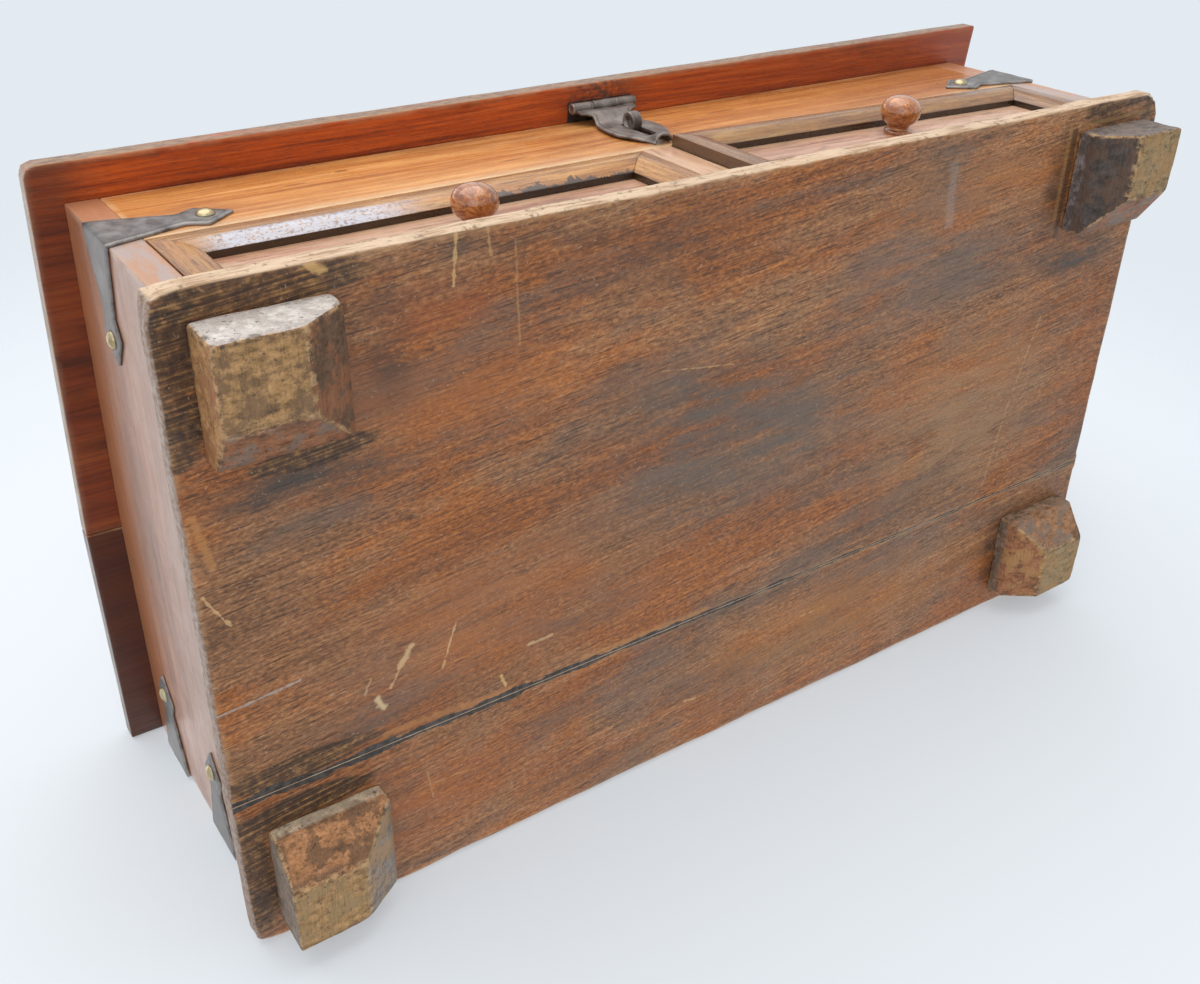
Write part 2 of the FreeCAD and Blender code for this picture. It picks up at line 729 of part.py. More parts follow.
def make_knob(x, z):
    """A flattened ball on a neck and collar, with a shank through the panel."""
    neck = size["knob_neck_length"]
    half = size["knob_half_length"]
    face = size["panel_recess"]
    ball = doc.addObject("Part::Ellipsoid", "Ball")
    bind(ball, "Radius1", half)
    bind(ball, "Radius2", size["knob_radius"])
    bind(ball, "Radius3", size["knob_radius"])
    ball.Angle1 = -90
    ball.Angle2 = 90
    center_y = face - neck - half + size["knob_sink"]
    place(ball, x, center_y, z, (1, 0, 0), 90)
    shank = rod("y", (x, center_y, z), size["knob_shank_radius"],
                size["front_thick"] - center_y)
    stem = rod("y", (x, center_y, z), size["knob_neck_radius"], face - center_y)
    collar = rod("y", (x, face - size["knob_collar_length"], z), size["knob_collar_radius"],
                 size["knob_collar_length"])
    return joined([ball, stem, collar, shank])


def skew_angle(rise, width):
    """Turn that puts one end of a front out by a rise over its width."""
    number = math.degrees(math.asin(rise.number / width.number))
    return Size(number, f"asin({rise.text} / {width.text})")


def drawer(word, left_x, right_x, skew, knob_in, knob_rise):
    gap = size["front_gap"]
    low_x = left_x + gap
    high_x = right_x - gap
    width = high_x - low_x
    low_z = base_top_z + size["seat_gap"]
    high_z = opening_top_z - gap
    turn = skew_angle(skew, width)
    drawer_front(word, high_x, width, turn, low_z, high_z, knob_in, knob_rise)
    wall = size["box_wall"]
    side_top = high_z - size["box_drop"]
    back_end = back_front_y - size["stop_gap"]

    run = (width * width - skew * skew).root()

    def front_back_y(x):
        """Depth of the front's rear face at one X, following the front's turn."""
        return front_y + size["front_thick"] * width / run - (high_x - x) * skew / run

    def box_side(node, x):
        outline = [(x[0], front_back_y(x[0])), (x[1], front_back_y(x[1])),
                   (x[1], back_end), (x[0], back_end)]
        prism(node, "z", outline, low_z, side_top)

    box_side(f"drawer_{word}_side_left", (low_x, low_x + wall))
    box_side(f"drawer_{word}_side_right", (high_x - wall, high_x))
    inside = (low_x + wall, high_x - wall)
    board(f"drawer_{word}_back", inside, (back_end - wall, back_end), (low_z, side_top))
    floor_z = low_z + size["floor_rise"]
    floor = [(inside[0], front_back_y(inside[0])), (inside[1], front_back_y(inside[1])),
             (inside[1], back_end - wall), (inside[0], back_end - wall)]
    prism(f"drawer_{word}_floor", "z", floor, floor_z, floor_z + size["box_floor"])


def make_drawers():
    drawer("left", -inner_x, muntin_left_x, Size.of(0), size["left_knob_in"],
           size["left_knob_rise"])
    drawer("right", muntin_right_x, inner_x, size["right_skew"], size["right_knob_in"],
           size["right_knob_rise"])


def check_and_write():
    """Stop on any failed feature, then write one file for each sub-part."""
    doc.recompute()
    for thing in doc.Objects:
        if "Invalid" in thing.State or "Error" in thing.State:
            raise RuntimeError(f"{thing.Name} of {thing.Label} failed")
        if thing.TypeId == "PartDesign::Pocket":
            before = thing.BaseFeature.Shape.Volume
            if thing.Shape.Volume > before - 0.01:
                raise RuntimeError(f"{thing.Name} takes nothing away")
    os.makedirs("parts", exist_ok=True)
    for thing in nodes:
        if thing.Shape.isNull() or not thing.Shape.isValid():
            raise RuntimeError(f"{thing.Label} has no valid shape")
    for thing in nodes:
        thing.Shape.exportStep(f"parts/{thing.Label}.step")
        box = thing.Shape.BoundBox
        print(f"{thing.Label}: solids {len(thing.Shape.Solids)}",
              f"x {box.XMin:.1f} to {box.XMax:.1f}, y {box.YMin:.1f} to {box.YMax:.1f},",
              f"z {box.ZMin:.1f} to {box.ZMax:.1f}")


make_base()
make_carcass()
make_rear_board()
make_lid()
make_hinges()
make_hasp()
make_staple()
make_straps()
make_drawers()
check_and_write()
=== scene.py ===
import bmesh
import bpy
import math
from mathutils import Matrix, Vector, noise


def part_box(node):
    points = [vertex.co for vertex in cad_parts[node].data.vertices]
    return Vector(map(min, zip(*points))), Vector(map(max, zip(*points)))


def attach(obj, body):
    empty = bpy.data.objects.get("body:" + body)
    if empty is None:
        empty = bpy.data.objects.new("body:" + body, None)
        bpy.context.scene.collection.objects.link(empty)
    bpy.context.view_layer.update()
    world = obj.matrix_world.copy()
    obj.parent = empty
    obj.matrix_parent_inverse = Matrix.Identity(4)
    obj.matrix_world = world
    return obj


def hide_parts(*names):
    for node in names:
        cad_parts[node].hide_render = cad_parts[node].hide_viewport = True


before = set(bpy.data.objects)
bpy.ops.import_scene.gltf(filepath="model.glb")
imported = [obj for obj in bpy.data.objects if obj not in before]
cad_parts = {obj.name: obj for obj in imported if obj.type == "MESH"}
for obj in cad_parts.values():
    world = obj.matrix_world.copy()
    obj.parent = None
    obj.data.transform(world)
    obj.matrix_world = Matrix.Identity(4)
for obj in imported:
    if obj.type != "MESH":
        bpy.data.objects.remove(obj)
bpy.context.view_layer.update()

MM = 0.001

# Sizes repeated from the model, in millimetres

SLOPE = 18.3 / 152.9
FRONT_Y = -129.05
SEAM_Y = 23.85
BASE_JOINT_Y = 69.55
BACK_Y = 139.75
BASE_TOP = 31.0
FRONT_TOP = 149.5
REAR_TOP = 167.8
OUTER_X = 240.0
LID_THICK = 9.0
SEAT_GAP = 0.3
STRAP_THICK = 1.4
STRAP_REACH = 49.5
HASP_X = 2.0
HASP_AXIS = (-136.05, 146.062)


def slope_z(y):
    """Height of the carcass's top edge at a depth."""
    return min(REAR_TOP, FRONT_TOP + (y - FRONT_Y) * SLOPE)


def box_mm(node):
    low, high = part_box(node)
    return Vector(low) / MM, Vector(high) / MM


def smooth(value, low, high):
    """0 below low, 1 above high and an easy curve between."""
    part = min(1.0, max(0.0, (value - low) / (high - low)))
    return part * part * (3 - 2 * part)


def wander(point, scale, seed):
    """Smooth noise between -1 and 1 at a point in millimetres."""
    return noise.noise(Vector(point) / scale + Vector((seed * 7.3, seed * 3.1, seed * 5.7)))


# Mesh helpers

def finish_piece(name, bm, body, nodes, material):
    """Turn a bmesh in millimetres into a piece that rides on a body."""
    mesh = bpy.data.meshes.new(name)
    bmesh.ops.recalc_face_normals(bm, faces=bm.faces)
    for face in bm.faces:
        face.smooth = True
    bm.to_mesh(mesh)
    bm.free()
    mesh.transform(Matrix.Scale(MM, 4))
    piece = bpy.data.objects.new(name, mesh)
    bpy.context.scene.collection.objects.link(piece)
    mesh.materials.append(material)
    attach(piece, body)
    if nodes:
        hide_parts(*nodes)
    return piece


def steps(low, high, edge, cell, extra=()):
    """Coordinates across one side of a block, closer together at its two edges."""
    span = high - low
    edge = min(edge, span * 0.24)
    near = [0, 0.22 * edge, 0.55 * edge, edge, 1.9 * edge]
    if span > 12 * edge:
        near.append(3.6 * edge)
    left = [low + value for value in near]
    right = [high - value for value in reversed(near)]
    count = max(1, round((right[0] - left[-1]) / cell))
    gap = (right[0] - left[-1]) / count
    middle = [left[-1] + gap * index for index in range(1, count)]
    values = left + middle + right
    for value in extra:
        values = [other for other in values if abs(other - value) > 0.3 * edge] + [value]
    return sorted(set(round(value, 5) for value in values))


def worn_block(low, high, radius, edge=1.6, cell=10.0, seed=0, shape=None, extra=((), (), ()),
               wave=0.0):
    """A block whose edges are rounded by a radius that changes from place to place.

    radius takes a point and gives millimetres; shape then maps each point.
    """
    low, high = Vector(low), Vector(high)
    axes = [steps(low[i], high[i], edge, cell, extra[i]) for i in range(3)]
    last = [len(axis) - 1 for axis in axes]
    bm = bmesh.new()
    layer = bm.verts.layers.float.new("edge")
    made = {}

    def vertex(index):
        if index in made:
            return made[index]
        point = Vector([axes[i][index[i]] for i in range(3)])
        r = max(0.05, min(radius(point), edge))
        inner = Vector([min(max(point[i], low[i] + r), high[i] - r) for i in range(3)])
        away = point - inner
        moved = inner + away.normalized() * r if away.length > 1e-9 else point
        if wave:
            moved += Vector((wander(point, 60, seed + 1), wander(point, 60, seed + 2),
                             wander(point, 60, seed + 3))) * wave
        gaps = sorted(min(point[i] - low[i], high[i] - point[i]) for i in range(3))
        item = bm.verts.new(shape(moved) if shape else moved)
        item[layer] = 1 - smooth(gaps[1], 0.0, 5.0)
        made[index] = item
        return item

    for axis in range(3):
        a, b = [other for other in range(3) if other != axis]
        for side in (0, last[axis]):
            for i in range(last[a]):
                for j in range(last[b]):
                    corners = []
                    for da, db in ((0, 0), (1, 0), (1, 1), (0, 1)):
                        index = [0, 0, 0]
                        index[axis] = side
                        index[a] = i + da
                        index[b] = j + db
                        corners.append(vertex(tuple(index)))
                    bm.faces.new(corners)
    return bm


def edge_wear(base, amount, scale, seed, chips=()):
    """Radius of an edge: a base size, slow wander and named chips."""
    def radius(point):
        value = base + amount * max(-0.6, wander(point, scale, seed))
        value += 0.5 * amount * max(0.0, wander(point, scale / 4, seed + 9))
        for center, reach, depth in chips:
            away = (Vector(point) - Vector(center)).length
            value += depth * (1 - smooth(away, 0, reach))
        return value
    return radius


def cut_out(piece, boxes):
    """Cut boxes, in millimetres, out of a piece."""
    for low, high in boxes:
        bm = bmesh.new()
        bmesh.ops.create_cube(bm, size=1.0)
        center = (Vector(low) + Vector(high)) / 2
        span = Vector(high) - Vector(low)
        bmesh.ops.scale(bm, vec=span, verts=bm.verts)
        bmesh.ops.translate(bm, vec=center, verts=bm.verts)
        mesh = bpy.data.meshes.new("cutter")
        bm.to_mesh(mesh)
        bm.free()
        mesh.transform(Matrix.Scale(MM, 4))
        cutter = bpy.data.objects.new("cutter", mesh)
        bpy.context.scene.collection.objects.link(cutter)
        modifier = piece.modifiers.new("notch", "BOOLEAN")
        modifier.operation = "DIFFERENCE"
        modifier.solver = "EXACT"
        modifier.object = cutter
        with bpy.context.temp_override(object=piece, active_object=piece):
            bpy.ops.object.modifier_apply(modifier=modifier.name)
        bpy.data.objects.remove(cutter)


def lathe(profile, turns=56):
    """A turned form about Y from pairs of radius and Y."""
    bm = bmesh.new()
    rings = []
    for radius, y in profile:
        if radius < 1e-6:
            rings.append([bm.verts.new((0, y, 0))])
            continue
        ring = []
        for index in range(turns):
            angle = 2 * math.pi * index / turns
            ring.append(bm.verts.new((radius * math.cos(angle), y, radius * math.sin(angle))))
        rings.append(ring)
    for first, second in zip(rings, rings[1:]):
        for index in range(turns):
            following = (index + 1) % turns
            corners = [first[index % len(first)], first[following % len(first)],
                       second[following % len(second)], second[index % len(second)]]
            unique = []
            for corner in corners:
                if corner not in unique:
                    unique.append(corner)
            bm.faces.new(unique)
    return bm


# Materials

class Shader:
    """A material built from nodes, with short calls for the usual ones."""

    def __init__(self, name):
        self.material = bpy.data.materials.new(name)
        self.material.use_nodes = True
        self.tree = self.material.node_tree
        self.tree.nodes.clear()
        self.output = self.node("ShaderNodeOutputMaterial")
        self.surface = self.node("ShaderNodeBsdfPrincipled")
        self.link(self.surface.outputs["BSDF"], self.output.inputs["Surface"])
        coords = self.node("ShaderNodeTexCoord")
        self.place = coords.outputs["Object"]
        self.normal = coords.outputs["Normal"]
        self.ragged_noise = None
        self.thin = None

    def node(self, kind, **values):
        item = self.tree.nodes.new(kind)
        for key, value in values.items():
            setattr(item, key, value)
        return item

    def link(self, source, target):
        self.tree.links.new(source, target)

    def feed(self, socket, value):
        """Link a socket or set a plain value."""
        if isinstance(value, bpy.types.NodeSocket):
            self.link(value, socket)
        elif isinstance(value, tuple) and len(value) == 3 and socket.type == "RGBA":
            socket.default_value = (*value, 1)
        else:
            socket.default_value = value

    def vector(self, operation, a, b):
        item = self.node("ShaderNodeVectorMath", operation=operation)
        self.feed(item.inputs[0], a)
        self.feed(item.inputs[1], b)
        return item.outputs[0]

    def length(self, a):
        item = self.node("ShaderNodeVectorMath", operation="LENGTH")
        self.feed(item.inputs[0], a)
        return item.outputs["Value"]

    def math(self, operation, a, b=0.0, clamp=False):
        item = self.node("ShaderNodeMath", operation=operation, use_clamp=clamp)
        self.feed(item.inputs[0], a)
        self.feed(item.inputs[1], b)
        return item.outputs[0]

    def noise(self, vector, scale=1.0, detail=3.0, roughness=0.5, output=0):
        item = self.node("ShaderNodeTexNoise")
        self.feed(item.inputs["Vector"], vector)
        item.inputs["Scale"].default_value = scale
        item.inputs["Detail"].default_value = detail
        item.inputs["Roughness"].default_value = roughness
        return item.outputs[output]

    def ramp(self, value, stops, mode="LINEAR"):
        item = self.node("ShaderNodeValToRGB")
        item.color_ramp.interpolation = mode
        self.feed(item.inputs[0], value)
        elements = item.color_ramp.elements
        while len(elements) < len(stops):
            elements.new(0.5)
        for element, (position, color) in zip(elements, stops):
            element.position = position
            element.color = (*color, 1) if isinstance(color, tuple) else (color,) * 3 + (1,)
        return item.outputs[0]

    def range(self, value, low, high, out_low=0.0, out_high=1.0):
        item = self.node("ShaderNodeMapRange", clamp=True)
        item.interpolation_type = "SMOOTHSTEP"
        self.feed(item.inputs["Value"], value)
        item.inputs["From Min"].default_value = low
        item.inputs["From Max"].default_value = high
        item.inputs["To Min"].default_value = out_low
        item.inputs["To Max"].default_value = out_high
        return item.outputs[0]

    def mix(self, a, b, share, blend="MIX"):
        item = self.node("ShaderNodeMix", data_type="RGBA", blend_type=blend)
        item.clamp_factor = True
        self.feed(item.inputs[0], share)
        self.feed(item.inputs[6], a)
        self.feed(item.inputs[7], b)
        return item.outputs[2]

    def edge(self):
        item = self.node("ShaderNodeAttribute", attribute_name="edge")
        return item.outputs["Fac"]

    def spot(self, center, reach, soft=0.5):
        """1 inside an ellipsoid given in millimetres, fading to 0 at its rim."""
        moved = self.vector("SUBTRACT", self.place, tuple(value * MM for value in center))
        scaled = self.vector("DIVIDE", moved, tuple(value * MM for value in reach))
        return self.range(self.length(scaled), 1.0 - soft, 1.0, 1.0, 0.0)

    def stroke(self, start, end, half):
        """1 along a line across X and Y given in millimetres, broken up and ragged."""
        a = Vector((*start, 0)) * MM
        way = Vector((*end, 0)) * MM - a
        flat = self.vector("MULTIPLY", self.place, (1.0, 1.0, 0.0))
        away = self.vector("SUBTRACT", flat, tuple(a))
        item = self.node("ShaderNodeVectorMath", operation="DOT_PRODUCT")
        self.feed(item.inputs[0], away)
        self.feed(item.inputs[1], tuple(way / way.length_squared))
        part = self.math("ADD", item.outputs["Value"], 0.0, clamp=True)
        line = self.node("ShaderNodeVectorMath", operation="SCALE")
        self.feed(line.inputs[0], tuple(way))
        self.feed(line.inputs["Scale"], part)
        distance = self.length(self.vector("SUBTRACT", away, line.outputs[0]))
        reach = min(5.0 * half, 2.5 + half) * MM
        rough = self.math("MULTIPLY", self.math("SUBTRACT", self.ragged(), 0.42), reach)
        return self.range(self.math("ADD", distance, rough), half * 0.5 * MM, half * 1.3 * MM,
                          1.0, 0.0)

    def ragged(self):
        """Noise shared by all the strokes of one material."""
        if self.ragged_noise is None:
            self.ragged_noise = self.noise(self.place, 330.0, 4.0, 0.65)
        return self.ragged_noise

    def parts(self, vector):
        """The three parts of a vector."""
        item = self.node("ShaderNodeSeparateXYZ")
        self.link(vector, item.inputs[0])
        return item.outputs

    def toward(self, direction, low=0.55, high=0.85, fuzz=0.0):
        """1 where the surface faces a direction."""
        item = self.node("ShaderNodeVectorMath", operation="DOT_PRODUCT")
        self.feed(item.inputs[0], self.normal)
        self.feed(item.inputs[1], tuple(Vector(direction).normalized()))
        value = item.outputs["Value"]
        if fuzz:
            shift = self.math("MULTIPLY", self.math("SUBTRACT", self.ragged(), 0.5), fuzz)
            value = self.math("ADD", value, shift)
        return self.range(value, low, high)

    def turned(self, vector, axis_turn):
        item = self.node("ShaderNodeMapping")
        self.feed(item.inputs["Vector"], vector)
        item.inputs["Rotation"].default_value = axis_turn
        return item.outputs[0]

    def bump(self, value, strength, distance, under=None):
        item = self.node("ShaderNodeBump")
        item.inputs["Strength"].default_value = strength
        item.inputs["Distance"].default_value = distance
        self.feed(item.inputs["Height"], value)
        if under is not None:
            self.link(under, item.inputs["Normal"])
        return item.outputs[0]


def along(axis, lengthwise, across):
    return tuple(lengthwise if letter == axis else across for letter in "xyz")


def wood(name, tones, axis="x", broad=(6, 40), fine=(16, 800), turn=(0, 0, 0), bend=0.006,
         grime=(0.055, 0.035, 0.025), grime_share=0.5, grime_range=(0.5, 0.72), gloss=(0.3, 0.5),
         coat=0.0, coat_rough=0.2, edge_tone=(0.55, 0.36, 0.2), edge_share=0.5,
         end_tone=(0.35, 0.2, 0.1), end_share=1.0, seed=0.0, marks=None, relief=0.3, pore=0.5,
         pore_tone=(0.05, 0.025, 0.015), warm=None, speckle=0.1, cool=None):
    """Old wood: stretched figure in two sizes, pores, grime, worn edges and end grain."""
    s = Shader(name)
    moved = s.vector("ADD", s.turned(s.place, turn), (seed, seed * 0.7, seed * 1.3))
    drift = s.vector("SUBTRACT", s.noise(moved, 7.0, 2.0, 0.5, 1), (0.5, 0.5, 0.5))
    bent = s.vector("ADD", moved, s.vector("MULTIPLY", drift, along(axis, 0.0, bend)))
    between = [math.sqrt(low * high) for low, high in zip(broad, fine)]
    layers = []
    for scales, detail in ((broad, 2.0), (between, 2.0), (fine, 3.0)):
        stretched = s.vector("MULTIPLY", bent, along(axis, *scales))
        layers.append(s.noise(stretched, 1.0, detail, 0.55))
    wide, middle, thin = layers
    s.thin = thin
    dusty = s.noise(s.vector("MULTIPLY", bent, along(axis, 420.0, 900.0)), 1.0, 3.0, 0.65)
    tone = s.math("MULTIPLY", dusty, speckle)
    for layer, weight in ((wide, 0.32), (middle, 0.26), (thin, 0.42)):
        tone = s.math("ADD", tone, s.math("MULTIPLY", layer, weight * (1 - speckle)))
    color = s.ramp(tone, tones)
    if warm:
        hue = s.noise(s.vector("MULTIPLY", bent, along(axis, 11.0, 26.0)), 1.0, 4.0, 0.65)
        color = s.mix(color, warm, s.range(hue, 0.44, 0.58), "MULTIPLY")
        color = s.mix(color, cool, s.range(hue, 0.38, 0.47, 0.65, 0.0), "MULTIPLY")
    dirt = s.noise(s.vector("MULTIPLY", bent, along(axis, 9.0, 34.0)), 1.0, 6.0, 0.66)
    color = s.mix(color, grime, s.math("MULTIPLY", s.range(dirt, *grime_range), grime_share))
    pores = s.noise(s.vector("MULTIPLY", bent, along(axis, 95.0, 1800.0)), 1.0, 2.0, 0.5)
    pore_mask = s.range(pores, 0.54, 0.68)
    color = s.mix(color, pore_tone, s.math("MULTIPLY", pore_mask, pore))
    facing = s.math("ABSOLUTE", s.parts(s.normal)["xyz".index(axis)])
    end = s.math("MULTIPLY", s.range(facing, 0.6, 0.85), end_share)
    specks = s.noise(moved, 700.0, 3.0, 0.6)
    blots = s.noise(moved, 90.0, 4.0, 0.6)
    end_color = s.mix(end_tone, grime, s.range(specks, 0.5, 0.75, 0.0, 0.5))
    end_color = s.mix(end_color, grime, s.range(blots, 0.5, 0.7, 0.0, 0.4))
    color = s.mix(color, end_color, end)
    wear = s.math("MULTIPLY", s.range(s.edge(), 0.3, 0.9), s.range(blots, 0.36, 0.58))
    color = s.mix(color, edge_tone, s.math("MULTIPLY", wear, edge_share))
    if marks:
        color = marks(s, color)
    rough = s.range(s.noise(moved, 60.0, 5.0, 0.7), 0.3, 0.7, gloss[0], gloss[1])
    s.feed(s.surface.inputs["Base Color"], color)
    s.feed(s.surface.inputs["Roughness"], rough)
    s.surface.inputs["Specular IOR Level"].default_value = 0.4
    s.surface.inputs["Coat Weight"].default_value = coat
    s.surface.inputs["Coat Roughness"].default_value = coat_rough
    low_bump = s.bump(thin, relief, 0.0007)
    s.link(s.bump(s.math("MULTIPLY", pore_mask, -1.0), relief, 0.0005, low_bump),
           s.surface.inputs["Normal"])
    return s.material


def iron(name, tones, gloss=(0.4, 0.62), metal=0.7, seed=0.0, rust=(0.20, 0.12, 0.085),
         rust_share=0.35, pit=0.35, rim=(0.42, 0.38, 0.34)):
    """Old wrought iron: mottled, pitted and rusty, with a pale rim that is partly rubbed metal and partly a
    painted highlight, and a line scribed inside it.
    """
    s = Shader(name)
    moved = s.vector("ADD", s.place, (seed, seed, seed))
    cloud = s.noise(moved, 130.0, 6.0, 0.65)
    color = s.ramp(cloud, tones)
    rusty = s.range(s.noise(moved, 260.0, 5.0, 0.7), 0.48, 0.66)
    color = s.mix(color, rust, s.math("MULTIPLY", rusty, rust_share))
    edge = s.edge()
    line = s.math("MULTIPLY", s.range(edge, 0.2, 0.32), s.range(edge, 0.4, 0.52, 1.0, 0.0))
    color = s.mix(color, tones[0][1], s.math("MULTIPLY", line, 0.75))
    # pale rim: rubbed bare metal and a painted highlight along the edges
    worn = s.math("MULTIPLY", s.range(edge, 0.6, 0.95), s.range(cloud, 0.38, 0.55))
    color = s.mix(color, rim, s.math("MULTIPLY", worn, 0.35))
    s.feed(s.surface.inputs["Base Color"], color)
    s.feed(s.surface.inputs["Roughness"], s.range(cloud, 0.3, 0.7, gloss[0], gloss[1]))
    s.surface.inputs["Metallic"].default_value = metal
    pits = s.noise(moved, 600.0, 4.0, 0.6)
    s.link(s.bump(pits, pit, 0.0004), s.surface.inputs["Normal"])
    return s.material


def lid_marks(s, color):
    """Painted shade under the overhang past the left side, deeper tone behind the seam, worn front edge, stain
    at the hasp.
    """
    x, y, _ = s.parts(s.place)
    # painted shade: the underside past the left side is darkened where the overhang lies in shade
    left = s.math("MULTIPLY", s.range(x, -0.243, -0.225, 1.0, 0.0), s.toward((0, 0, -1)))
    color = s.mix(color, (0.05, 0.012, 0.004), s.math("MULTIPLY", left, 0.6))
    color = s.mix(color, (0.18, 0.034, 0.010), s.range(x, -0.03, 0.2, 0.0, 0.4))
    rear = s.range(y, 0.0235, 0.0245)
    color = s.mix(color, (0.032, 0.010, 0.005), s.math("MULTIPLY", rear, 0.72))
    stain = s.math("MULTIPLY", s.spot((2, -139, 148), (32, 16, 14), 0.9), s.range(s.ragged(), 0.4, 0.6))
    color = s.mix(color, (0.05, 0.032, 0.028), s.math("MULTIPLY", stain, 0.8))
    worn = s.noise(s.vector("MULTIPLY", s.place, (30.0, 260.0, 260.0)), 1.0, 5.0, 0.65)
    fine = s.noise(s.vector("MULTIPLY", s.place, (220.0, 900.0, 900.0)), 1.0, 4.0, 0.65)
    tan = s.mix((0.30, 0.19, 0.10), (0.13, 0.075, 0.045), s.range(fine, 0.42, 0.62))
    front = s.math("MULTIPLY", s.toward((0, -1, 0)), s.range(worn, 0.30, 0.48))
    color = s.mix(color, tan, s.math("MULTIPLY", front, 0.9))
    edge = s.math("MULTIPLY", s.toward((0, -1, -1), 0.8, 0.97), s.range(worn, 0.42, 0.56))
    return s.mix(color, (0.40, 0.20, 0.09), s.math("MULTIPLY", edge, 0.7))


def lid_wood():
    return wood("lid_wood", [(0.36, (0.12, 0.018, 0.005)), (0.46, (0.34, 0.052, 0.008)),
                             (0.54, (0.48, 0.085, 0.012)), (0.66, (0.62, 0.15, 0.026))],
                edge_tone=(0.42, 0.20, 0.09), edge_share=0.4, gloss=(0.34, 0.5), coat=0.15,
                coat_rough=0.3, broad=(5, 60), fine=(14, 700), grime_share=0.7, grime_range=(0.52, 0.68),
                grime=(0.045, 0.012, 0.006), end_tone=(0.22, 0.12, 0.06), pore=0.4,
                marks=lid_marks)


def rail_marks(s, color):
    """Knots, a stain under the hasp, a darker right end and a pale lower edge."""
    knots = [((-135, -129, 134), (4, 4, 1.6)), ((-158, -129, 127), (7, 4, 1)),
             ((-66, -129, 112), (9, 4, 1)), ((60, -129, 130), (12, 4, 1.4))]
    for center, reach in knots:
        color = s.mix(color, (0.16, 0.05, 0.015), s.math("MULTIPLY", s.spot(center, reach), 0.6))
    stain = s.math("MULTIPLY", s.spot((4, -129, 112), (22, 6, 34), 0.7), s.range(s.ragged(), 0.35, 0.6))
    color = s.mix(color, (0.20, 0.08, 0.035), s.math("MULTIPLY", stain, 0.7))
    behind = s.spot((2, -129, 115), (7, 6, 18), 0.25)
    color = s.mix(color, (0.15, 0.13, 0.12), s.math("MULTIPLY", behind, 0.9))
    x, _, z = s.parts(s.place)
    color = s.mix(color, (0.27, 0.085, 0.027), s.range(x, 0.03, 0.2, 0.0, 0.4))
    return s.mix(color, (0.72, 0.5, 0.28), s.range(z, 0.0955, 0.102, 0.5, 0.0))


def rail_wood():
    return wood("rail_wood", [(0.36, (0.28, 0.080, 0.020)), (0.46, (0.52, 0.190, 0.045)),
                              (0.55, (0.68, 0.30, 0.085)), (0.68, (0.82, 0.46, 0.18))], seed=1.0,
                edge_tone=(0.8, 0.55, 0.3), edge_share=0.4, broad=(5, 50), fine=(14, 700),
                gloss=(0.26, 0.42), coat=0.25, grime=(0.30, 0.09, 0.03), grime_share=0.5,
                pore=0.3, pore_tone=(0.2, 0.07, 0.03), marks=rail_marks)


def side_marks(s, color):
    """Painted pale sheen low down, painted orange reflection of the lid's underside along the top of the outer
    face, and an orange top and dull patches on the front end.
    """
    z = s.parts(s.place)[2]
    # painted sheen: every face turns paler and greyer low down
    low = s.range(z, 0.05, 0.125, 1.0, 0.0)
    color = s.mix(color, (0.38, 0.24, 0.17), s.math("MULTIPLY", low, 0.6))
    streak = s.noise(s.vector("MULTIPLY", s.place, (160.0, 160.0, 30.0)), 1.0, 4.0, 0.6)
    front = s.toward((0, -1, 0))
    dull = s.mix((0.50, 0.24, 0.12), (0.40, 0.32, 0.29), s.range(streak, 0.40, 0.58))
    color = s.mix(color, dull, s.math("MULTIPLY", front, 0.75))
    high = s.math("MULTIPLY", front, s.range(z, 0.106, 0.125))
    color = s.mix(color, (0.44, 0.17, 0.07), s.math("MULTIPLY", high, s.range(streak, 0.3, 0.55, 0.4, 0.9)))
    # painted reflection: the outer face turns orange just under the lid, as if the lid's underside were
    # mirrored in it
    rim = s.math("MULTIPLY", s.toward((-1, 0, 0)), s.range(z, 0.125, 0.15))
    return s.mix(color, (0.42, 0.15, 0.055), s.math("MULTIPLY", rim, 0.6))


SIDE_TONES = [(0.36, (0.18, 0.060, 0.026)), (0.46, (0.30, 0.112, 0.05)),
              (0.55, (0.40, 0.17, 0.085)), (0.68, (0.52, 0.27, 0.15))]


def side_wood():
    return wood("side_wood", SIDE_TONES, axis="y", seed=2.0, gloss=(0.35, 0.5), coat=0.3,
                coat_rough=0.3, broad=(6, 50), fine=(16, 700), grime_share=0.3,
                end_tone=(0.50, 0.31, 0.22), edge_tone=(0.6, 0.42, 0.3), pore=0.35,
                pore_tone=(0.12, 0.05, 0.03), marks=side_marks)


def back_wood():
    return wood("back_wood", SIDE_TONES, axis="x", seed=2.3, gloss=(0.4, 0.55), broad=(4, 40),
                fine=(14, 700), grime_share=0.45, edge_tone=(0.5, 0.33, 0.2), pore=0.4,
                pore_tone=(0.10, 0.045, 0.025), warm=(1.08, 0.90, 0.76), cool=(0.80, 0.88, 0.92))


def muntin_wood():
    return wood("muntin_wood", [(0.36, (0.32, 0.13, 0.06)), (0.46, (0.56, 0.31, 0.18)),
                                (0.55, (0.68, 0.43, 0.27)), (0.68, (0.76, 0.54, 0.38))], axis="z",
                seed=2.6, gloss=(0.35, 0.5), coat=0.3, broad=(8, 90), fine=(24, 560),
                end_share=0.0, grime=(0.20, 0.13, 0.10), grime_share=0.5, pore=0.3)


